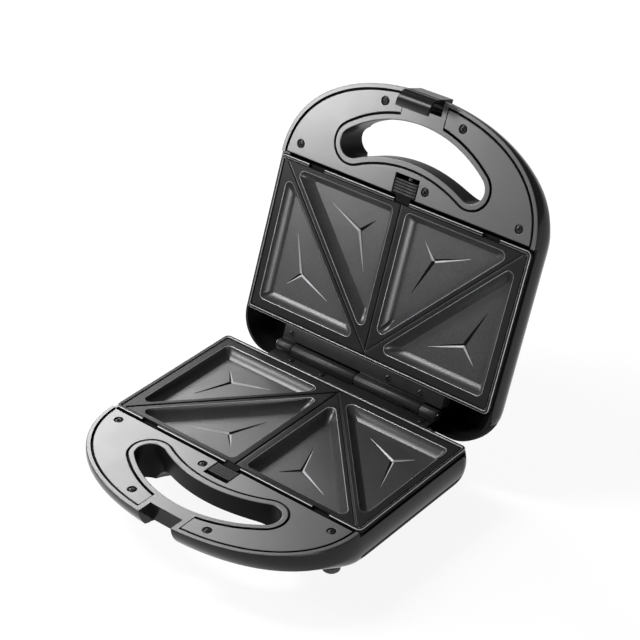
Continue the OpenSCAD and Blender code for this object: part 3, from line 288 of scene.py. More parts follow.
def tube_x(name, profile, steps=64):
    """Ring-shaped body turned about the hinge axis."""
    n = len(profile)
    verts, faces = [], []
    for i in range(steps):
        t = 2 * math.pi * i / steps
        verts += [(x * MM, r * math.cos(t) * MM, r * math.sin(t) * MM) for x, r in profile]
    for i in range(steps):
        j = (i + 1) % steps
        for k in range(n):
            m = (k + 1) % n
            faces.append((i * n + k, i * n + m, j * n + m, j * n + k))
    o = new_mesh(name, verts, faces)
    mend(o)
    return o


def mend(o):
    """Joins doubled points and turns the faces outward."""
    bm = bmesh.new()
    bm.from_mesh(o.data)
    bmesh.ops.remove_doubles(bm, verts=bm.verts, dist=1e-7)
    bmesh.ops.recalc_face_normals(bm, faces=bm.faces)
    bm.to_mesh(o.data)
    bm.free()


def baked(o):
    """Mesh of an object as its modifiers leave it."""
    graph = bpy.context.evaluated_depsgraph_get()
    return bpy.data.meshes.new_from_object(o.evaluated_get(graph))


def bake(o):
    """Applies an object's modifiers to its mesh."""
    me = baked(o)
    o.modifiers.clear()
    o.data = me


def carve(body, tool, how="DIFFERENCE"):
    """Cuts, joins or trims body with tool, and removes the tool."""
    m = body.modifiers.new("carve", "BOOLEAN")
    m.operation, m.solver, m.object = how, "MANIFOLD", tool
    old = body.data
    bake(body)
    bpy.data.meshes.remove(old)
    bpy.data.objects.remove(tool)
    return body


def cut(body, *tools):
    for t in tools:
        carve(body, t)
    return body


def add(body, *tools):
    for t in tools:
        carve(body, t, "UNION")
    return body


def settle(o, angle, bevel=0.0, weighted=True):
    """Smooth shading with crisp edges, an optional small bevel, and steady normals on flats."""
    mend(o)
    o.data.shade_smooth()
    if bevel:
        m = o.modifiers.new("bevel", "BEVEL")
        m.width, m.segments, m.limit_method = bevel * MM, 2, "ANGLE"
        m.angle_limit = math.radians(40)
        m.harden_normals = False
        bake(o)
    o.data.set_sharp_from_angle(angle=math.radians(angle))
    if weighted:
        m = o.modifiers.new("normals", "WEIGHTED_NORMAL")
        m.keep_sharp, m.weight = True, 80
        bake(o)
    return o


def flat_shape(name, loops, z0, z1, bevel, segments):
    """Flat plate with the given closed loops as its edge and holes, its edges rounded."""
    cu = bpy.data.curves.new(name, "CURVE")
    cu.dimensions, cu.fill_mode = "2D", "BOTH"
    for loop in loops:
        s = cu.splines.new("POLY")
        s.points.add(len(loop) - 1)
        for p, (x, y) in zip(s.points, loop):
            p.co = (x * MM, y * MM, 0, 1)
        s.use_cyclic_u = True
    cu.bevel_depth, cu.bevel_resolution = bevel * MM, segments
    cu.extrude = ((z1 - z0) / 2 - bevel) * MM
    cu.offset = -bevel * MM
    o = new_object(name, cu)
    me = baked(o)
    bpy.data.objects.remove(o)
    me.transform(Matrix.Translation((0, 0, (z0 + z1) / 2 * MM)))
    return new_object(name, me)


def join(name, parts):
    bm = bmesh.new()
    for p in parts:
        bm.from_mesh(p.data)
    me = bpy.data.meshes.new(name)
    bm.to_mesh(me)
    bm.free()
    for p in parts:
        bpy.data.objects.remove(p)
    return new_object(name, me)


def finish_piece(o, name, half, body, slot, nodes, *materials):
    """Puts a finished piece of a half in its place, with its marked finishes, and on its body."""
    o.name = name
    o.data.name = name
    o.data.transform(PLACE[half])
    marks = [p.material_index for p in o.data.polygons]
    o.data.materials.clear()
    for m in materials:
        o.data.materials.append(m)
    o.data.polygons.foreach_set("material_index", marks)
    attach(o, body)
    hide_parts(*nodes)


# ---------------------------------------------------------------- materials

def add_node(tree, kind, inputs, **settings):
    """New node: its settings are set first, then the values or links of its sockets."""
    node = tree.nodes.new(kind)
    for key, value in settings.items():
        setattr(node, key, value)
    for key, value in inputs.items():
        if isinstance(value, Wire):
            value = value.socket
        if isinstance(value, bpy.types.NodeSocket):
            tree.links.new(value, node.inputs[key])
        else:
            node.inputs[key].default_value = value
    return node


class Wire:
    """A number socket in a material, with arithmetic."""

    def __init__(self, tree, socket):
        self.tree, self.socket = tree, socket

    def _do(self, operation, other):
        node = add_node(self.tree, "ShaderNodeMath", {0: self, 1: other}, operation=operation)
        return Wire(self.tree, node.outputs[0])

    def __add__(self, other):
        return self._do("ADD", other)

    def __mul__(self, other):
        return self._do("MULTIPLY", other)

    __radd__, __rmul__ = __add__, __mul__

    def clamp(self):
        return self._do("MINIMUM", 1.0)._do("MAXIMUM", 0.0)


class Finish:
    """Builds one procedural finish on object coordinates, in metres."""

    def __init__(self, name, color, roughness, metallic=0.0, coat=0.0, coat_roughness=0.1, specular=0.5):
        self.material = bpy.data.materials.new(name)
        self.material.use_nodes = True
        self.tree = self.material.node_tree
        self.shader = self.tree.nodes["Principled BSDF"]
        self.color = color
        values = {"Base Color": (*color, 1), "Roughness": roughness, "Metallic": metallic,
                  "Coat Weight": coat, "Coat Roughness": coat_roughness, "Specular IOR Level": specular}
        for key, value in values.items():
            self.shader.inputs[key].default_value = value
        self.normal = None
        self.place = add_node(self.tree, "ShaderNodeTexCoord", {}).outputs["Object"]

    def noise(self, scale, detail=2.0, rough=0.5, stretch=None):
        source = self.place
        if stretch:
            source = add_node(self.tree, "ShaderNodeMapping", {"Vector": source, "Scale": stretch}).outputs[0]
        inputs = {"Vector": source, "Scale": scale, "Detail": detail, "Roughness": rough}
        return Wire(self.tree, add_node(self.tree, "ShaderNodeTexNoise", inputs).outputs["Fac"])

    def specks(self, scale):
        cells = add_node(self.tree, "ShaderNodeTexVoronoi", {"Vector": self.place, "Scale": scale})
        return Wire(self.tree, cells.outputs["Distance"])

    def rough(self, wire, low, high):
        self.tree.links.new((wire * (high - low) + low).clamp().socket, self.shader.inputs["Roughness"])
        return self

    def tint(self, wire, other):
        inputs = {"A": (*self.color, 1), "B": (*other, 1), "Factor": wire.clamp()}
        mix = add_node(self.tree, "ShaderNodeMix", inputs, data_type="RGBA")
        self.tree.links.new(mix.outputs["Result"], self.shader.inputs["Base Color"])
        return self

    def bump(self, wire, strength, distance_mm):
        inputs = {"Strength": strength, "Distance": distance_mm * MM, "Height": wire}
        if self.normal:
            inputs["Normal"] = self.normal
        self.normal = add_node(self.tree, "ShaderNodeBump", inputs).outputs["Normal"]
        self.tree.links.new(self.normal, self.shader.inputs["Normal"])
        return self


def moulded(name, color, roughness, grain, depth, **more):
    """Moulded plastic: faint mottling of tone and gloss with a fine grain."""
    f = Finish(name, color, roughness, **more)
    cloud = f.noise(38, 4)
    f.rough(cloud, roughness - 0.03, roughness + 0.04)
    f.tint(cloud, tuple(c * 1.25 + 0.001 for c in color))
    return f.bump(f.noise(grain, 2), 0.25, depth)


def drifting(name, color, roughness, noise, share, other, low, high, **more):
    """Plain finish whose tone and gloss drift with noise."""
    f = Finish(name, color, roughness, **more)
    drift = f.noise(*noise)
    return f.tint(drift * share, other).rough(drift, low, high)


def finishes():
    """Every finish, by the key that the pieces ask for it with."""
    made = {}
    made["gloss"] = moulded("gloss_black_shell", (0.006, 0.006, 0.0065), 0.17, 900, 0.012, specular=0.2)
    # Lighter grey on the top faces of the black shell: a painted sheen, on a surface that is truly satin.
    made["deck"] = moulded("satin_rim_top_painted_sheen", (0.040, 0.040, 0.0413), 0.31, 2400, 0.02)
    # Grey of the cover: a painted sheen on satin black plastic, as on the deck.
    made["cover"] = moulded("satin_cover_painted_sheen", (0.041, 0.041, 0.0423), 0.30, 2400, 0.02)
    # Near-black and dull: painted shade for seams, the room inside the shell, plate notches, channels and
    # grooves, and the button below its ribs.
    made["cavity"] = moulded("painted_shade_black", (0.004, 0.004, 0.0042), 0.6, 1200, 0.02, specular=0.03)
    made["latch"] = moulded("latch_plastic", (0.005, 0.005, 0.0052), 0.24, 2200, 0.02, specular=0.12)
    made["button"] = moulded("button_plastic", (0.014, 0.014, 0.0146), 0.34, 2200, 0.02, specular=0.12)
    plate = Finish("non_stick_floor", (0.010, 0.010, 0.0105), 0.30, specular=0.33)
    grit = plate.specks(1300)
    cloud = plate.noise(60, 5)
    plate.tint(cloud * 0.25 + grit * 0.9, (0.038, 0.038, 0.0395)).rough(cloud, 0.27, 0.35)
    plate.bump(grit, 0.45, 0.08).bump(plate.noise(700, 3), 0.35, 0.06)
    made["floor"] = plate
    land = Finish("non_stick_land", (0.010, 0.010, 0.0105), 0.36, specular=0.05)
    grit = land.specks(900)
    cloud = land.noise(60, 5)
    land.tint(cloud * 0.8, (0.017, 0.017, 0.0178)).rough(cloud, 0.22, 0.30)
    land.bump(grit, 0.12, 0.03)
    made["land"] = land
    # Light grey on the rounded edges of the plate and the star groove flanks that face the lamps: a painted
    # highlight.
    made["edge"] = drifting("painted_edge_highlight", (0.22, 0.22, 0.227), 0.24, (180, 4), 1,
                            (0.34, 0.34, 0.35), 0.2, 0.32, specular=0.6)
    # Darker, duller black for the walls of the handle opening: painted shade.
    made["well"] = moulded("grip_wall_painted_shade", (0.004, 0.004, 0.0042), 0.34, 900, 0.012, specular=0.07)
    hinge = drifting("matt_black_steel", (0.008, 0.008, 0.0083), 0.36, (120, 4), 0.7,
                     (0.012, 0.012, 0.0125), 0.30, 0.44, specular=0.16)
    made["hinge"] = hinge.bump(hinge.noise(2400, 2), 0.3, 0.02)
    made["pin"] = drifting("oiled_steel", (0.05, 0.05, 0.052), 0.35, (300, 3), 0.6,
                           (0.09, 0.09, 0.092), 0.3, 0.45, metallic=1.0)
    steel = Finish("bright_steel", (0.56, 0.56, 0.58), 0.28, metallic=1.0)
    brushed = steel.noise(300, 3, 0.6, (1, 14, 14))
    steel.rough(brushed, 0.2, 0.4).tint(brushed * 0.5, (0.44, 0.44, 0.46)).bump(brushed, 0.1, 0.02)
    made["steel"] = steel
    made["reflector"] = drifting("reflector_sheet", (0.72, 0.72, 0.74), 0.22, (200, 3, 0.6, (10, 1, 1)), 0.5,
                                 (0.6, 0.6, 0.62), 0.16, 0.34, metallic=1.0)
    made["screw"] = drifting("black_screw", (0.006, 0.006, 0.0063), 0.22, (500, 3), 0.6,
                             (0.012, 0.012, 0.0126), 0.2, 0.4, specular=0.2)
    rubber = drifting("foot_rubber", (0.016, 0.016, 0.016), 0.6, (220, 4), 0.6,
                      (0.03, 0.03, 0.029), 0.52, 0.72)
    made["rubber"] = rubber.bump(rubber.noise(1600, 2), 0.3, 0.03)
    lenses = {"red": ((0.42, 0.012, 0.010), (0.65, 0.03, 0.02)),
              "green": ((0.01, 0.22, 0.04), (0.03, 0.42, 0.08))}
    for key, (low, high) in lenses.items():
        made[key] = drifting(key + "_lens", low, 0.12, (260, 2), 1, high, 0.08, 0.2,
                             coat=0.5, coat_roughness=0.05)
    made["lamp"] = drifting("lamp_glass", (0.8, 0.55, 0.35), 0.1, (300, 2), 1, (0.95, 0.75, 0.5), 0.06, 0.16)
    made["ceramic"] = drifting("white_block", (0.62, 0.60, 0.54), 0.5, (300, 3), 0.6,
                               (0.5, 0.48, 0.43), 0.42, 0.6)
    return {k: f.material for k, f in made.items()}


MAT = finishes()


# ---------------------------------------------------------------- housings

def scoop(name, grow):
    """Finger hollow under the handle: a barrel with rounded ends."""
    r, half, end = SCOOP_R + grow, SCOOP_HALF + grow, SCOOP_END + grow
    side = [(-half + end - end * math.cos(a), r - end + end * math.sin(a)) for a in quarter(10)]
    profile = [(x, max(q, 0.5)) for x, q in side] + [(-x, max(q, 0.5)) for x, q in reversed(side)]
    return lathe_x(name, profile, SCOOP_Y, SCOOP_Z)


def skin(name, inset, floor, shell):
    """Solid of a half: drawn in by inset and up by floor, or whole with its top edge rounded."""
    depth = shell["depth"]
    span = depth - HANDLE_DEPTH
    depths = [HANDLE_DEPTH * i / 10 for i in range(1, 11)]
    depths += [HANDLE_DEPTH + span * math.sin(a) for a in quarter(16)[1:]]
    if inset:
        rings = [at(outline(inset, inset, **shell), 1.0)]
        rings += [at(outline(d, inset, **shell), TOP - d + floor) for d in depths if d > floor]
        return loft(name, rings)
    rings = []
    for a in quarter(5):
        lift, drop = TOP_ROUND * (1 - math.sin(a)), TOP_ROUND * (1 - math.cos(a))
        rings.append(at(outline(0, lift, **shell), TOP - drop))
    rings += [at(outline(d, 0, **shell), TOP - d) for d in depths]
    return loft(name, rings)


def nose_ring(name, inset, z0, z1):
    return prism(name, nose_curve(RIM_X - inset, NOSE_TIP + inset, PLATE_FRONT), z0, z1)


def handle_frame(shell):
    """What stands in the handle: rim band, cover ledge, grip wall, latch bar, rib and finger hollow."""
    deep, low = -shell["depth"] - 0.2, COVER_BED - 2
    inside = cut(nose_ring("band", 0.9, low, TOP), nose_ring("band_cut", RING_W, low - 1, TOP + 1))
    ledge = nose_ring("ledge", 0.9, low, COVER_BED)
    cut(ledge, nose_ring("ledge_cut", RING_W + LEDGE, low - 1, TOP + 1))
    cheek = SLOT_HALF + SLOT_CHEEK
    add(inside, ledge,
        prism("grip_band", kidney(GRIP_BAND), low, TOP),
        prism("grip_ledge", kidney(GRIP_BAND + LEDGE), low, COVER_BED),
        prism("grip_tube", kidney(WALL), deep, COVER_BED),
        box("bar_deck", -COVER_GAP + SEAM, COVER_GAP - SEAM, NOSE_TIP, GRIP_FRONT + 6, low, TOP),
        box("bar", -cheek, cheek, NOSE_TIP, GRIP_FRONT, deep, COVER_BED),
        box("rib", -RIB_HALF, RIB_HALF, RIB_FRONT, RIB_REAR, RIB_LOW, COVER_BED),
        scoop("scoop_skin", WALL))
    return carve(inside, skin("trim", 0, 0, shell), "INTERSECT")


def open_ways(body):
    """Cuts the grip, finger hollow, latch slot, button way and plate seat."""
    gap, catch, way = 0.6, SLOT_HALF + 0.6, BUTTON_W / 2 + 0.5
    seat = round_rect(-PLATE_W / 2 - gap, PLATE_W / 2 + gap, PLATE_FRONT - gap, PLATE_REAR + gap, 4 + gap)
    cut(body,
        box("side_drop", -FAR, FAR, PLATE_FRONT - 2, FAR, WALL_TOP, ABOVE),
        flared("grip_cut", kidney, TOP, BELOW, 0.8),
        scoop("scoop_cut", 0),
        box("slot", -SLOT_HALF, SLOT_HALF, NOSE_TIP - 10, SLOT_Y, BELOW, ABOVE),
        box("catch", -catch, catch, SLOT_Y - 1, GRIP_FRONT + 1, BELOW, HOOK_LEDGE),
        box("button_way", -way, way, RIB_FRONT - 1, RIB_REAR + 1, BUTTON_TOP - CAP_T - 0.3, ABOVE),
        prism("plate_seat", seat, RIM_BOTTOM - 0.3, ABOVE))


def fit_lid(body, shelf):
    """Adds the lid's shelf and web, opens its lamp holes and closes the slot behind the latch barrel."""
    web = box("web", -SHELF_HALF, SHELF_HALF, LEAF_FRONT, LEAF_FRONT + WALL, -33, WALL_TOP - 1)
    add(body, shelf, web)
    for s in (-1, 1):
        cut(body, prism("lamp_hole", circle(s * LAMP_X, LAMP_Y, LAMP_HOLE), -60, -26))
    half = SLOT_HALF + 0.5
    add(body, box("slot_floor", -half, half, NOSE_TIP + 9.0, SLOT_Y + 0.5, -12.4, -11))


def fit_base(body, shelf):
    """Adds the base's hinge block, cord boss, foot posts and lid stops, and cuts its vent slots."""
    add(body, hinge_block(0))
    cut(body, hinge_block(WALL))
    boss = bar_y("cord_boss", CORD_X, CORD_Z, CORD_HOLE + 5.4, BLOCK_REAR - 6, BLOCK_REAR + 0.6)
    add(body, shelf, boss)
    cut(body, bar_y("cord_hole", CORD_X, CORD_Z, CORD_HOLE + 2, BLOCK_REAR - 20, 20))
    for x, y in FEET:
        add(body, prism("post", circle(x, y, POST_R, 48), POST_LOW, POST_TOP))
    stop = [(SHELF_REAR - 1, WALL_TOP - 2), (SHELF_REAR + 0.6, WALL_TOP - 2)]
    stop += STOP_FACE + [(SHELF_REAR - 1, STOP_FACE[-1][1])]
    for s in (-1, 1):
        add(body, extrude_x("stop", stop, s * STOP_X - STOP_HALF, s * STOP_X + STOP_HALF))
    for i in range(VENTS):
        x = (i - VENTS // 2) * VENT_PITCH
        slot = arc(x, PLATE_MID + VENT_HALF, VENT_R, 180, 0, 8)
        slot += arc(x, PLATE_MID - VENT_HALF, VENT_R, 0, -180, 8)
        cut(body, prism("vent", slot, -60, -30))


def housing(half):
    """Moulded shell of one half."""
    shell = SHELL[half]
    body = skin("shell", 0, 0, shell)
    cut(body, skin("room", WALL, WALL, shell))
    add(body, handle_frame(shell))
    open_ways(body)
    shelf = box("shelf", -SHELF_HALF, SHELF_HALF, LEAF_FRONT, SHELF_REAR, WALL_TOP - SHELF_T, WALL_TOP)
    if half == "lid":
        fit_lid(body, shelf)
    else:
        fit_base(body, shelf)
    return body


def hinge_block(inset):
    """Block behind the base that carries the hinge shelf, the cord inlet and the rear feet."""
    top, low = WALL_TOP - SHELF_T - inset, BLOCK_LOW + inset
    rear, r, half = BLOCK_REAR - inset, BLOCK_ROUND - inset, SHELF_HALF - inset
    front = BASE_TAIL - 8 - inset
    side = [(front, top), (rear, top)] + arc(rear - r, low + r, r, 0, -90, 10) + [(front, low)]
    return extrude_x("hinge_block", side, -half, half)


def in_grip(x, y, grow):
    """Whether a point lies in the handle opening, grown outward."""
    if math.hypot(abs(x) - LOBE_X, y - LOBE_Y) < LOBE_R + grow:
        return True
    return (abs(x) < LOBE_X and math.hypot(x, y - FRONT_C) < FRONT_R + grow
            and math.hypot(x, y - REAR_C) > REAR_R - grow)


# Least upward part of a normal that counts as a top face.
FACE_UP = 0.55


def seam_wall(c, n):
    """Whether a face lies in the seam round the handle cover."""
    if in_grip(c.x, c.y, GRIP_BAND - 0.3):
        return False
    if in_grip(c.x, c.y, GRIP_BAND + LEDGE + 0.5):
        return True
    return n.z > FACE_UP or n.x * c.x + n.y * (c.y - PLATE_FRONT) < 0


def paint_shell(o, deck, cavity, well, shell):
    """Marks the deck of the handle with painted sheen, the seams and room with painted shade, and the walls
    of the grip with painted shade as well.
    """
    for p in o.data.polygons:
        c, up = p.center / MM, p.normal.z
        in_nose = c.y < COVER_REAR
        in_room = PLATE_FRONT + 4 < c.y < shell["tail"] - 1.2 and abs(c.x) < SIDE_X - 1.2
        grip_reach = 1.2 if c.z > -12 else 12
        # Up-facing faces of the handle get the painted sheen of the deck.
        if up > FACE_UP and c.z > TOP - 1.2 and c.y < PLATE_FRONT:
            p.material_index = deck
        # Seam floors and seam walls get painted shade.
        elif in_nose and abs(c.z - COVER_BED) < 0.2 and up > 0.9:
            p.material_index = cavity
        elif in_nose and COVER_BED - 0.3 < c.z < TOP - 0.2 and seam_wall(c, p.normal):
            p.material_index = cavity
        # Walls of the handle opening get painted shade.
        elif c.z < TOP - 0.5 and in_grip(c.x, c.y, grip_reach) and abs(up) < 0.9:
            p.material_index = well
        # The room inside the shell gets painted shade.
        elif in_room and 1.0 - shell["depth"] < c.z < WALL_TOP - 0.4:
            p.material_index = cavity


for half in HALVES:
    o = settle(housing(half), 28)
    paint_shell(o, 1, 2, 3, SHELL[half])
    finish_piece(o, half + "_shell", half, half, "housing", [half + "_housing"],
                 MAT["gloss"], MAT["deck"], MAT["cavity"], MAT["well"])


# ---------------------------------------------------------------- handle covers

SCREWS = [(-98.3, PLATE_FRONT - 11.9), (98.3, PLATE_FRONT - 11.9), (-34.5, PLATE_FRONT - 64.5),
          (34.5, PLATE_FRONT - 64.5), (-17.1, PLATE_FRONT - 11.8)]
SEAT_BED = 0.8


def cover_edge():
    """Closed outline of the cover, with its gap at the latch and the cut-outs of grip and button."""
    inset = RING_W + SHOWN_SEAM
    nose = nose_curve(RIM_X - inset, NOSE_TIP + inset, PLATE_FRONT, 160)
    right = [p for p in nose if p[0] > 0 and p[1] < COVER_REAR and p[0] > COVER_GAP]
    left = mirrored(right)
    outer_y = right[-1][1]
    hole = kidney(GRIP_BAND + SHOWN_SEAM)
    n = len(hole)
    start = min((i for i in range(n) if hole[i][0] > COVER_GAP and hole[i][1] < GRIP_FRONT + 8),
                key=lambda i: hole[i][0])
    end = max((i for i in range(n) if hole[i][0] < -COVER_GAP and hole[i][1] < GRIP_FRONT + 8),
              key=lambda i: hole[i][0])
    ring = []
    i = start
    while True:
        ring.append(hole[i])
        if i == end:
            break
        i = (i - 1) % n
    edge_y = FRONT_C - math.sqrt((FRONT_R + GRIP_BAND + SHOWN_SEAM) ** 2 - COVER_GAP ** 2)
    bx, by = BUTTON_W / 2 + 0.95, BUTTON_REAR - BUTTON_D - 3.6
    out = [(RIM_X - inset, COVER_REAR)] + right + [(COVER_GAP, outer_y), (COVER_GAP, edge_y)] + ring
    out += [(-COVER_GAP, edge_y), (-COVER_GAP, outer_y)] + left + [(-RIM_X + inset, COVER_REAR)]
    out += [(-bx, COVER_REAR), (-bx, by), (bx, by), (bx, COVER_REAR)]
    return out


def handle_cover(half):
    """Satin cover of the handle, with a bore and a seat for each screw."""
    edge = cover_edge()
    bores = [circle(x, y, 1.5, 20) for x, y in SCREWS]
    seats = [circle(x, y, 3.4, 32) for x, y in SCREWS]
    low = flat_shape("cover_low", [edge] + bores, COVER_BED, COVER_BED + SEAT_BED + 0.1, 0.1, 1)
    high = flat_shape("cover_high", [edge] + seats, COVER_BED + SEAT_BED, COVER_BED + COVER_T, 0.32, 3)
    o = settle(join("cover", [low, high]), 50)
    # Side faces of the cover get painted shade, so the seam round it reads black.
    for p in o.data.polygons:
        p.material_index = int(p.normal.z < 0.35)
    finish_piece(o, half + "_cover_skin", half, half, "cover", [half + "_cover"], MAT["cover"], MAT["cavity"])


for half in HALVES:
    handle_cover(half)


# ---------------------------------------------------------------- cooking plates

START = Vector((-PLATE_W / 2 + 3, PLATE_FRONT))
END = Vector((0, PLATE_REAR - 4.7))
WAY = (END - START).normalized()
SIDE = Vector((-WAY.y, WAY.x))


def on_line(x=None, y=None, h=0.0):
    """Missing coordinate of the point at a distance h from the diagonal."""
    if y is None:
        return START.y + (h - (x - START.x) * SIDE.x) / SIDE.y
    return START.x + (h - (y - START.y) * SIDE.y) / SIDE.x


OX, OY = -(PLATE_W / 2 - 9.3), PLATE_REAR - 10.2
FX, FY = -6.0, PLATE_FRONT + 7.1
POCKETS = [
    [Vector((OX, OY)), Vector((on_line(y=OY, h=4), OY)), Vector((OX, on_line(x=OX, h=4)))],
    [Vector((FX, FY)), Vector((on_line(y=FY, h=-4), FY)), Vector((FX, on_line(x=FX, h=-4)))],
]


def triangle(t, inset, r, steps=7):
    """Triangle t drawn in by inset, with round corners."""
    a, b, c = (t[1] - t[2]).length, (t[2] - t[0]).length, (t[0] - t[1]).length
    centre = (a * t[0] + b * t[1] + c * t[2]) / (a + b + c)
    s = (a + b + c) / 2
    inner = math.sqrt((s - a) * (s - b) * (s - c) / s)
    out = []
    for i in range(3):
        before, here, after = t[(i + 2) % 3], t[i], t[(i + 1) % 3]
        p = here + (centre - here) * (inset + r) / inner
        a0 = math.degrees(math.atan2(before.x - here.x, here.y - before.y)) + 180
        a1 = math.degrees(math.atan2(here.x - after.x, after.y - here.y)) + 180
        while a1 > a0:
            a1 -= 360
        out += arc(p.x, p.y, r, a0, a1, steps)
    return out


def pocket(name, t):
    """Pocket cutter: rounded brim, then a hollow wall that meets the floor in a crease."""
    brim, steep, last = 0.55, math.radians(73), math.radians(27)
    rings = [at(triangle(t, -brim - 0.6, 4.6 + brim), LAND + 0.25)]
    for i in range(1, 5):
        a = steep * i / 4
        inset = -brim + brim * math.sin(a)
        rings.append(at(triangle(t, inset, 4 - inset), LAND - brim * (1 - math.cos(a))))
    x0, z0 = -brim + brim * math.sin(steep), LAND - brim * (1 - math.cos(steep))
    r = (z0 - POCKET_FLOOR) / (math.cos(last) - math.cos(steep))
    for i in range(1, 13):
        a = steep + (last - steep) * i / 12
        inset = x0 + r * (math.sin(steep) - math.sin(a))
        drop = r * (math.cos(a) - math.cos(steep))
        rings.append(at(triangle(t, inset, max(0.8, 4 - inset * 0.45)), z0 - drop))
    return loft(name, rings)


# A star's centre from its pocket's square corner, along both legs; the turn and length of its arms.
STAR_SET = 28
STAR_ARMS = ((0, 16.2), (113, 31), (-113, 31))


def star(name, t):
    """Three tapered grooves that meet: their depth and width run out to nothing."""
    corner = t[0]
    leg = Vector((math.copysign(1, t[1].x - t[0].x), math.copysign(1, t[2].y - t[0].y)))
    centre = corner + STAR_SET * leg
    middle = math.atan2(-leg.y, -leg.x)
    tools = []
    for turn, length in STAR_ARMS:
        a = middle + math.radians(turn)
        d, n = Vector((math.cos(a), math.sin(a))), Vector((-math.sin(a), math.cos(a)))
        pts = []
        for along, wide, deep in ((-0.5, 1.5, 1.1), (length * 0.6, 0.8, 0.65), (length, 0.2, 0.08)):
            p = centre + d * along
            pts.append([(p.x + n.x * wide * 1.5, p.y + n.y * wide * 1.5, POCKET_FLOOR + deep / 2),
                        (p.x, p.y, POCKET_FLOOR - deep),
                        (p.x - n.x * wide * 1.5, p.y - n.y * wide * 1.5, POCKET_FLOOR + deep / 2)])
        tools.append(loft(name, pts))
    return tools


# Half section of a groove: distance from its middle, height over the land.
GROOVE = ((2.0, 0.3), (0.8, -0.2), (0.44, -0.95))


def groove(name, a, b):
    """V groove with soft shoulders from a to b."""
    d = (b - a).normalized()
    n = Vector((-d.y, d.x))
    section = GROOVE + tuple((-w, z) for w, z in reversed(GROOVE))
    return loft(name, [[(p.x + n.x * w, p.y + n.y * w, LAND + z) for w, z in section] for p in (a, b)])


def plate_rim(inset, z):
    x, y0, y1 = PLATE_W / 2 - inset, PLATE_FRONT + inset, PLATE_REAR - inset
    return at(round_rect(-x, x, y0, y1, max(1.0, 4 - inset), 10), z)


# Fine channel inside the rim: distance from the rim, height over the land.
RIM_CHANNEL = ((0.1, 0.2), (0.25, -0.55), (1.0, -0.55), (1.25, -0.06), (1.5, 0.0))


RIM_ROUND, INNER_ROUND = 0.6, 0.45
# Notches in the front rim: place and width.
SIDE_NOTCH_X = 79
NOTCHES = ((-SIDE_NOTCH_X, 15), (SIDE_NOTCH_X, 15), (0, 14))


def plate_blank():
    """Plate with its rounded rim and fine channel, and with thick backs behind its pockets."""
    r, q = RIM_ROUND, INNER_ROUND
    rings = [plate_rim(0, RIM_BOTTOM)]
    rings += [plate_rim(r * (1 - math.cos(a)), TOP - r * (1 - math.sin(a))) for a in quarter(5)]
    rings += [plate_rim(RIM_W - q * (1 - math.sin(a)), TOP - q * (1 - math.cos(a))) for a in quarter(4)]
    rings += [plate_rim(RIM_W + w, LAND + z) for w, z in RIM_CHANNEL]
    body = loft("plate", list(reversed(rings)))
    for s in (1, -1):
        for t in POCKETS:
            back = triangle(t, -1.6, 4.0)
            add(body, prism("back", back if s == 1 else mirrored(back), POCKET_FLOOR - 2, LAND - 1.5))
    return body


def cooking_plate():
    """Plate with its pockets, stars, grooves and notches."""
    body = plate_blank()
    for s in (1, -1):
        tools = [pocket("pocket", t) for t in POCKETS]
        for t in POCKETS:
            tools += star("star", t)
        tools.append(groove("diagonal", START + WAY * 5.5, END))
        for tool in tools:
            if s == -1:
                tool.data.transform(Matrix.Scale(-1, 4, (1, 0, 0)))
                mend(tool)
            cut(body, tool)
    cut(body, groove("centre", Vector((0, PLATE_FRONT + RIM_W + 1)), Vector((0, END.y + 1.0))))
    for x, w in NOTCHES:
        notch = (PLATE_FRONT - 1, PLATE_FRONT + 2.6, RIM_BOTTOM + 1.3, 3)
        cut(body, box("notch", x - w / 2, x + w / 2, *notch))
    return body


def near_groove(x, y):
    """Whether a point lies on one of the grooves in the lands."""
    return abs(x) < 1.5 or abs((Vector((-abs(x), y)) - START).dot(SIDE)) < 1.5


def near_rim(x, y):
    """Whether a point lies in the channel inside the rim."""
    reach = RIM_W + 1.1
    return abs(x) > PLATE_W / 2 - reach or not PLATE_FRONT + reach < y < PLATE_REAR - reach


# Plate finishes; the last two are a painted highlight and painted shade.
ON_LAND, IN_POCKET, PAINTED_HIGHLIGHT, PAINTED_SHADE_MARK = range(4)


def plate_finish(p):
    """Which finish a plate's face has: land, pocket, a painted highlight on edges and lit flanks, or painted
    shade in a notch, channel or groove.
    """
    x, y, z = p.center / MM
    up = p.normal.z
    by_notch = min(abs(abs(x) - SIDE_NOTCH_X), abs(x)) < 7.6
    # Notches in the front rim get painted shade.
    if by_notch and y < PLATE_FRONT + 2.7 and z < TOP - 0.5 and up > -0.5:
        return PAINTED_SHADE_MARK
    # The channel inside the rim gets painted shade.
    if -0.1 < up and LAND - 0.6 < z < LAND + 0.1 and near_rim(x, y):
        return PAINTED_SHADE_MARK
    inside = PLATE_FRONT + 3 < y < PLATE_REAR - 3
    # Walls of the land grooves get painted shade.
    if inside and up < 0.9 and LAND - 1.1 < z < LAND and near_groove(x, y):
        return PAINTED_SHADE_MARK
    # Rounded rim top and pocket brims get a painted highlight.
    if 0.25 < up < 0.96 and z > TOP - 0.62:
        return PAINTED_HIGHLIGHT
    if 0.5 < up < 0.93 and LAND - 0.4 < z < LAND + 0.02 and not near_groove(x, y):
        return PAINTED_HIGHLIGHT
    # Star groove flanks facing the lamps get a painted highlight, the others painted shade.
    if z < POCKET_FLOOR - 0.01 and up > 0.1:
        return PAINTED_HIGHLIGHT if -0.85 * p.normal.y - 0.35 * p.normal.x > 0.2 else PAINTED_SHADE_MARK
    if POCKET_FLOOR - 0.01 < z < LAND - 0.35 and up > 0.1:
        return IN_POCKET
    return ON_LAND


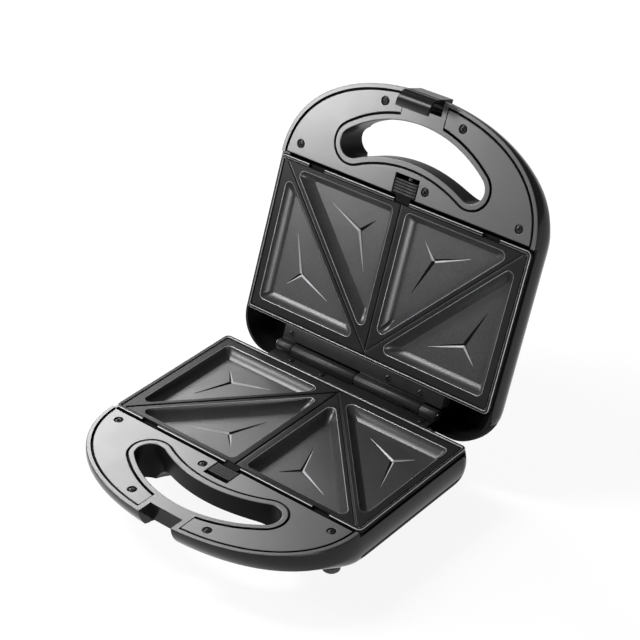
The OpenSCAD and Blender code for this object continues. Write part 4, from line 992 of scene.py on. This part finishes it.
plate = settle(cooking_plate(), 24)
for p in plate.data.polygons:
    p.material_index = plate_finish(p)
for half in HALVES:
    o = new_object("plate_" + half, plate.data.copy())
    finish_piece(o, half + "_plate_skin", half, half, "plate", [half + "_plate"],
                 MAT["land"], MAT["floor"], MAT["edge"], MAT["cavity"])
bpy.data.objects.remove(plate)


# ---------------------------------------------------------------- hinge leaves

KNUCKLES = ((-60.25, -0.25), (60.75, BARREL_HALF))


def leaf(half):
    """Hinge leaf with a long and a short knuckle, each on its tongue."""
    strip = [(-BARREL_HALF, LEAF_FRONT), (BARREL_HALF, LEAF_FRONT),
             (BARREL_HALF, LEAF_REAR), (-BARREL_HALF, LEAF_REAR)]
    parts = [flat_shape("leaf", [strip], WALL_TOP, WALL_TOP + LEAF_T, 0.25, 2)]
    for x0, x1 in KNUCKLES:
        tongue = [(x0, LEAF_REAR - 1.5), (x1, LEAF_REAR - 1.5), (x1, -0.5), (x0, -0.5)]
        parts.append(flat_shape("tongue", [tongue], WALL_TOP, WALL_TOP + LEAF_T, 0.15, 1))
        end = [(x0, PIN_BORE), (x0, BARREL_R - 0.35), (x0 + 0.1, BARREL_R - 0.1), (x0 + 0.35, BARREL_R)]
        other_end = [(x1 - (x - x0), r) for x, r in reversed(end)]
        parts.append(tube_x("knuckle", end + other_end))
    o = settle(join("leaf", parts), 35, weighted=False)
    finish_piece(o, half + "_hinge_strip", half, half, "hinge_metal", [half + "_hinge_leaf"], MAT["hinge"])


for half in HALVES:
    leaf(half)


# ---------------------------------------------------------------- screws

HINGE_SCREW_X, HINGE_SCREW_Y = (-54.5, -25, 67.4), -10


def rect(reach, wide, z):
    """Rectangle about the Z axis, given by its half sizes."""
    return [(-reach, -wide, z), (reach, -wide, z), (reach, wide, z), (-reach, wide, z)]


def screw_mesh(head_r, head_h, shank_r, length):
    """Pan head with a cross recess, standing on z = 0."""
    rim = [(0.0, -length), (shank_r, -length + 0.4), (shank_r, 0.0),
           (head_r - 0.15, 0.0), (head_r, 0.15), (head_r, head_h * 0.4)]
    rim += [(head_r * math.cos(a), head_h * (0.4 + 0.6 * math.sin(a))) for a in quarter(6)[1:-1]]
    body = loft("screw", [at(arc(0, 0, max(r, 0.05), 0, 360, 32)[:-1], z) for r, z in rim])
    wide, reach = head_r * 0.16, head_r * 0.66
    for a in (0, 90):
        tool = loft("cross", [rect(reach, wide, 3), rect(reach, wide, head_h * 0.8),
                              rect(reach * 0.35, wide * 0.6, head_h * 0.15)])
        tool.data.transform(Matrix.Rotation(math.radians(a), 4, "Z"))
        mend(tool)
        cut(body, tool)
    return settle(body, 35)


def set_out(name, part, places, material, turn):
    """Sets one part out on points with a node tree, and returns the result as one mesh."""
    o = new_mesh(name, [Vector(p) * MM for p in places], [])
    tree = bpy.data.node_groups.new("set_out_" + name, "GeometryNodeTree")
    tree.interface.new_socket("Geometry", in_out="INPUT", socket_type="NodeSocketGeometry")
    step = tree.interface.new_socket("Turn step", in_out="INPUT", socket_type="NodeSocketFloat")
    tree.interface.new_socket("Geometry", in_out="OUTPUT", socket_type="NodeSocketGeometry")
    source = add_node(tree, "NodeGroupInput", {})
    info = add_node(tree, "GeometryNodeObjectInfo", {"Object": part})
    index = add_node(tree, "GeometryNodeInputIndex", {})
    angle = add_node(tree, "ShaderNodeMath", {0: index.outputs[0], 1: source.outputs["Turn step"]},
                     operation="MULTIPLY")
    spin = add_node(tree, "ShaderNodeCombineXYZ", {"Z": angle.outputs[0]})
    inputs = {"Points": source.outputs["Geometry"], "Instance": info.outputs["Geometry"],
              "Rotation": spin.outputs[0]}
    spread = add_node(tree, "GeometryNodeInstanceOnPoints", inputs)
    real = add_node(tree, "GeometryNodeRealizeInstances", {0: spread.outputs[0]})
    paint = add_node(tree, "GeometryNodeSetMaterial", {"Geometry": real.outputs[0], "Material": material})
    add_node(tree, "NodeGroupOutput", {0: paint.outputs[0]})
    m = o.modifiers.new("set_out", "NODES")
    m.node_group = tree
    m[step.identifier] = turn
    bake(o)
    return o


COVER_SCREW, HINGE_SCREW = screw_mesh(3.0, 1.3, 1.4, 8), screw_mesh(2.4, 1.1, 1.4, 6)
SCREW_SETS = (
    ("cover", COVER_SCREW, [(x, y, COVER_BED + SEAT_BED) for x, y in SCREWS], 0.62),
    ("hinge", HINGE_SCREW, [(x, HINGE_SCREW_Y, WALL_TOP + LEAF_T) for x in HINGE_SCREW_X], 0.9),
)
for half in HALVES:
    for key, part, places, turn in SCREW_SETS:
        o = set_out(key + "_screws", part, places, MAT["screw"], turn)
        finish_piece(o, f"{half}_{key}_screw_set", half, half, "black_screw",
                     [f"{half}_{key}_screws"], MAT["screw"])
bpy.data.objects.remove(COVER_SCREW)
bpy.data.objects.remove(HINGE_SCREW)


# ---------------------------------------------------------------- buttons

# One rib of the button: share of the pitch along it, height from the top.
RIB_SHAPE = ((0.10, -0.16), (0.20, 0.0), (0.42, 0.0), (0.54, -0.16), (0.66, -0.62), (0.88, -0.62))


def button():
    """Ribbed cap of the plate release."""
    x, y1 = BUTTON_W / 2, BUTTON_REAR
    y0 = y1 - BUTTON_D
    pitch = BUTTON_D / BUTTON_RIBS
    profile = [(y0, BUTTON_TOP - CAP_T), (y0, BUTTON_TOP - 0.9)]
    for i in range(BUTTON_RIBS):
        s = y0 + i * pitch
        profile += [(s + along * pitch, BUTTON_TOP + drop) for along, drop in RIB_SHAPE]
    profile += [(y1, BUTTON_TOP - 0.5), (y1, BUTTON_TOP - CAP_T)]
    return loft("cap", [[(px, y, z) for y, z in profile] for px in (-x, -x + 0.01, x)])


def release_button(half):
    """Release button with its slide and catch, with painted shade below its ribs and on its rear."""
    o = button()
    mend(o)
    catch = (BUTTON_REAR - 1, PLATE_FRONT + 2, RIM_BOTTOM + 1.6, RIM_BOTTOM + 3.0)
    add(o, box("slide", -SLIDE_HALF, SLIDE_HALF, SLIDE_FRONT, BUTTON_REAR, SLIDE_LOW, BUTTON_TOP - 3.3),
        box("catch", -SLIDE_HALF - 0.2, SLIDE_HALF + 0.2, *catch))
    settle(o, 30, bevel=0.12)
    # Faces below the rib tops and behind the cap get painted shade.
    for p in o.data.polygons:
        c = p.center / MM
        p.material_index = int(c.y > BUTTON_REAR + 0.05 or c.z < BUTTON_TOP - 0.4)
    finish_piece(o, half + "_button", half, half + "_button", "button_plastic",
                 [half + "_release_button"], MAT["button"], MAT["cavity"])


def release_spring(half):
    """Return spring of the button: one coiled wire."""
    per_turn, sides = 24, 8
    length = SLIDE_FRONT - SPRING_STOP - 0.2
    pitch = (length - 2 * SPRING_WIRE) / SPRING_TURNS
    rings = []
    for k in range(SPRING_TURNS * per_turn + 1):
        t = 2 * math.pi * k / per_turn
        ring = []
        for i in range(sides):
            a = 2 * math.pi * i / sides
            reach = SPRING_R + SPRING_WIRE * math.cos(a)
            y = SPRING_STOP + 0.1 + SPRING_WIRE + pitch * k / per_turn + SPRING_WIRE * math.sin(a)
            ring.append((reach * math.cos(t), y, SPRING_Z + reach * math.sin(t)))
        rings.append(ring)
    o = settle(loft("spring", rings), 60)
    finish_piece(o, half + "_spring", half, half, "bright_steel", [half + "_release_spring"], MAT["steel"])
    anchor = PLACE[half] @ Vector((0, SPRING_STOP * MM, SPRING_Z * MM))
    (length - BUTTON_TRAVEL) / length
    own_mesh(o)


for half in HALVES:
    release_button(half)
for half in HALVES:
    release_spring(half)


# ---------------------------------------------------------------- latch

def latch():
    """Bent latch plate on its barrel, with a hooked lip and three inner ribs."""
    bend_y, bend_z, inner_r = LATCH_FACE + LATCH_BEND, 8.0, LATCH_BEND - LATCH_T
    lip, top, under = LATCH_FACE + 12.2, bend_z + LATCH_BEND, bend_z + inner_r
    face, back = LATCH_FACE + LATCH_STEP, LATCH_FACE + LATCH_T
    pin_y, pin_z = LATCH_PIN
    outer = [(LATCH_FACE, pin_z - LATCH_BARREL_R), (LATCH_FACE, 4.4), (LATCH_FACE, 5.0)]
    outer += [(face, 5.5), (face, 7.6)]
    outer += arc(bend_y, bend_z, LATCH_BEND - LATCH_STEP, 180, 100, 12)[1:]
    outer += [(bend_y + 1.4, top), (lip - 0.5, top), (lip, top - 0.4), (lip, under + 0.5), (lip - 0.5, under)]
    inner = arc(bend_y, bend_z, inner_r, 90, 180, 10) + [(back, pin_z + LATCH_BARREL_R)]
    inner += arc(pin_y, pin_z, LATCH_BARREL_R, 90, -90, 12)
    o = extrude_x("latch", outer + inner, -LATCH_HALF, LATCH_HALF)
    for x in (-10, 0, 10):
        rib = [(back - 0.3, -2), (back - 0.3, bend_z)]
        rib += arc(bend_y, bend_z, inner_r + 0.3, 180, 90, 8)[1:]
        rib += arc(bend_y, bend_z, inner_r - 2.4, 90, 180, 8)
        rib += [(back + 2.4, -2)]
        add(o, extrude_x("rib", rib, x - 0.6, x + 0.6))
    settle(o, 24, bevel=0.15)
    finish_piece(o, "latch_hood", "lid", "latch", "latch_plastic", ["latch"], MAT["latch"])


latch()


# ---------------------------------------------------------------- finishes on the solids that stay

STAY = {
    "pin": ("hinge_pin", "latch_pin"),
    "rubber": ("front_feet", "rear_feet", "cord_bush"),
    "steel": ("foot_screws", "base_element", "lid_element", "base_element_clips", "lid_element_clips",
              "base_tray_screws", "lid_tray_screws", "base_thermostat", "lid_thermostat", "thermal_fuse"),
    "reflector": ("base_tray", "lid_tray"),
    "ceramic": ("terminal_block",),
    "red": ("power_lens",),
    "green": ("ready_lens",),
    "lamp": ("indicator_lamps",),
}
for key, names in STAY.items():
    for name in names:
        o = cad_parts[name]
        o.data.materials.clear()
        o.data.materials.append(MAT[key])
        for p in o.data.polygons:
            p.material_index = 0


# ---------------------------------------------------------------- floor, light and camera

def seen_rays(tree):
    """One for rays from the camera, off gloss and through glass; nought for what lights the object."""
    path = add_node(tree, "ShaderNodeLightPath", {})
    last = path.outputs["Is Camera Ray"]
    for key in ("Is Glossy Ray", "Is Transmission Ray"):
        top = add_node(tree, "ShaderNodeMath", {0: last, 1: path.outputs[key]}, operation="MAXIMUM")
        last = top.outputs[0]
    return last


def shown_white(name, share):
    """Floor finish: a share of what is seen of it is plain white, and the rest takes light and shadow."""
    m = bpy.data.materials.new(name)
    m.use_nodes = True
    tree = m.node_tree
    shader, out = tree.nodes["Principled BSDF"], tree.nodes["Material Output"]
    shader.inputs["Base Color"].default_value = (0.9, 0.9, 0.9, 1)
    shader.inputs["Roughness"].default_value = 0.9
    shader.inputs["Specular IOR Level"].default_value = 0.0
    glow = add_node(tree, "ShaderNodeEmission", {})
    part = add_node(tree, "ShaderNodeMath", {0: seen_rays(tree), 1: share}, operation="MULTIPLY")
    mix = add_node(tree, "ShaderNodeMixShader", {
        "Fac": part.outputs[0], 1: shader.outputs[0], 2: glow.outputs[0]})
    tree.links.new(mix.outputs[0], out.inputs["Surface"])
    return m


def stage_floor():
    s = 20.0
    o = new_mesh("floor", [(-s, -s, 0), (s, -s, 0), (s, s, 0), (-s, s, 0)], [(0, 1, 2, 3)])
    o.data.materials.append(shown_white("floor_white", 0.9))


def area(name, place, aim, size, size_y, power_w):
    """Rectangular lamp that the camera does not see."""
    light = bpy.data.lights.new(name, "AREA")
    light.shape, light.size, light.size_y, light.energy = "RECTANGLE", size, size_y, power_w
    o = new_object(name, light)
    o.location = place
    o.rotation_euler = (Vector(aim) - Vector(place)).to_track_quat("-Z", "Y").to_euler()
    o.visible_camera = False


def studio():
    world = bpy.data.worlds.new("studio")
    bpy.context.scene.world = world
    world.use_nodes = True
    room = world.node_tree.nodes["Background"]
    room.inputs["Color"].default_value = (1, 1, 1, 1)
    room.inputs["Strength"].default_value = 0.16
    area("back_left", (-1.07, 0.70, 0.89), (0, 0, 0.05), 0.5, 0.5, 12)
    area("back_low", (-1.25, 1.10, 0.22), (0, -0.05, 0.04), 0.5, 0.3, 7)
    area("front_left", (-0.57, -0.50, 0.37), (-0.03, 0.12, 0.19), 0.22, 0.22, 5.2)
    area("front_top", (-0.80, -0.34, 1.20), (0, 0, 0.05), 0.26, 0.6, 22)
    area("right_low", (1.30, -0.72, 0.13), (0, 0.08, 0.12), 0.6, 0.22, 14)


# The photo's camera: its focal length in pixels, the photo's width, and the sensor that stands for it.
FOCAL_PX, PHOTO_W, SENSOR = 1954.342, 640, 36


def camera():
    """Camera in the place of the photo's, by its turn, height, roll, target and distance."""
    az, el, roll = math.radians(38.676), math.radians(32.709), math.radians(0.939)
    target = Vector((-0.035649, 0.000171, 0.036735)) + Vector((0, HINGE.y, HINGE.z))
    back = Vector((math.sin(az) * math.cos(el), -math.cos(az) * math.cos(el), math.sin(el)))
    place = target + back * 1.450648
    right = (-back).cross(Vector((0, 0, 1))).normalized()
    up = right.cross(-back)
    r2 = right * math.cos(roll) + up * math.sin(roll)
    u2 = up * math.cos(roll) - right * math.sin(roll)
    cam = bpy.data.cameras.new("camera")
    cam.sensor_width = SENSOR
    cam.lens = FOCAL_PX * SENSOR / PHOTO_W
    cam.clip_end = 20
    o = new_object("camera", cam)
    m = Matrix((r2, u2, back)).transposed().to_4x4()
    m.translation = place
    o.matrix_world = m
    bpy.context.scene.camera = o


stage_floor()
studio()
camera()
bpy.context.scene.view_settings.view_transform = "Standard"
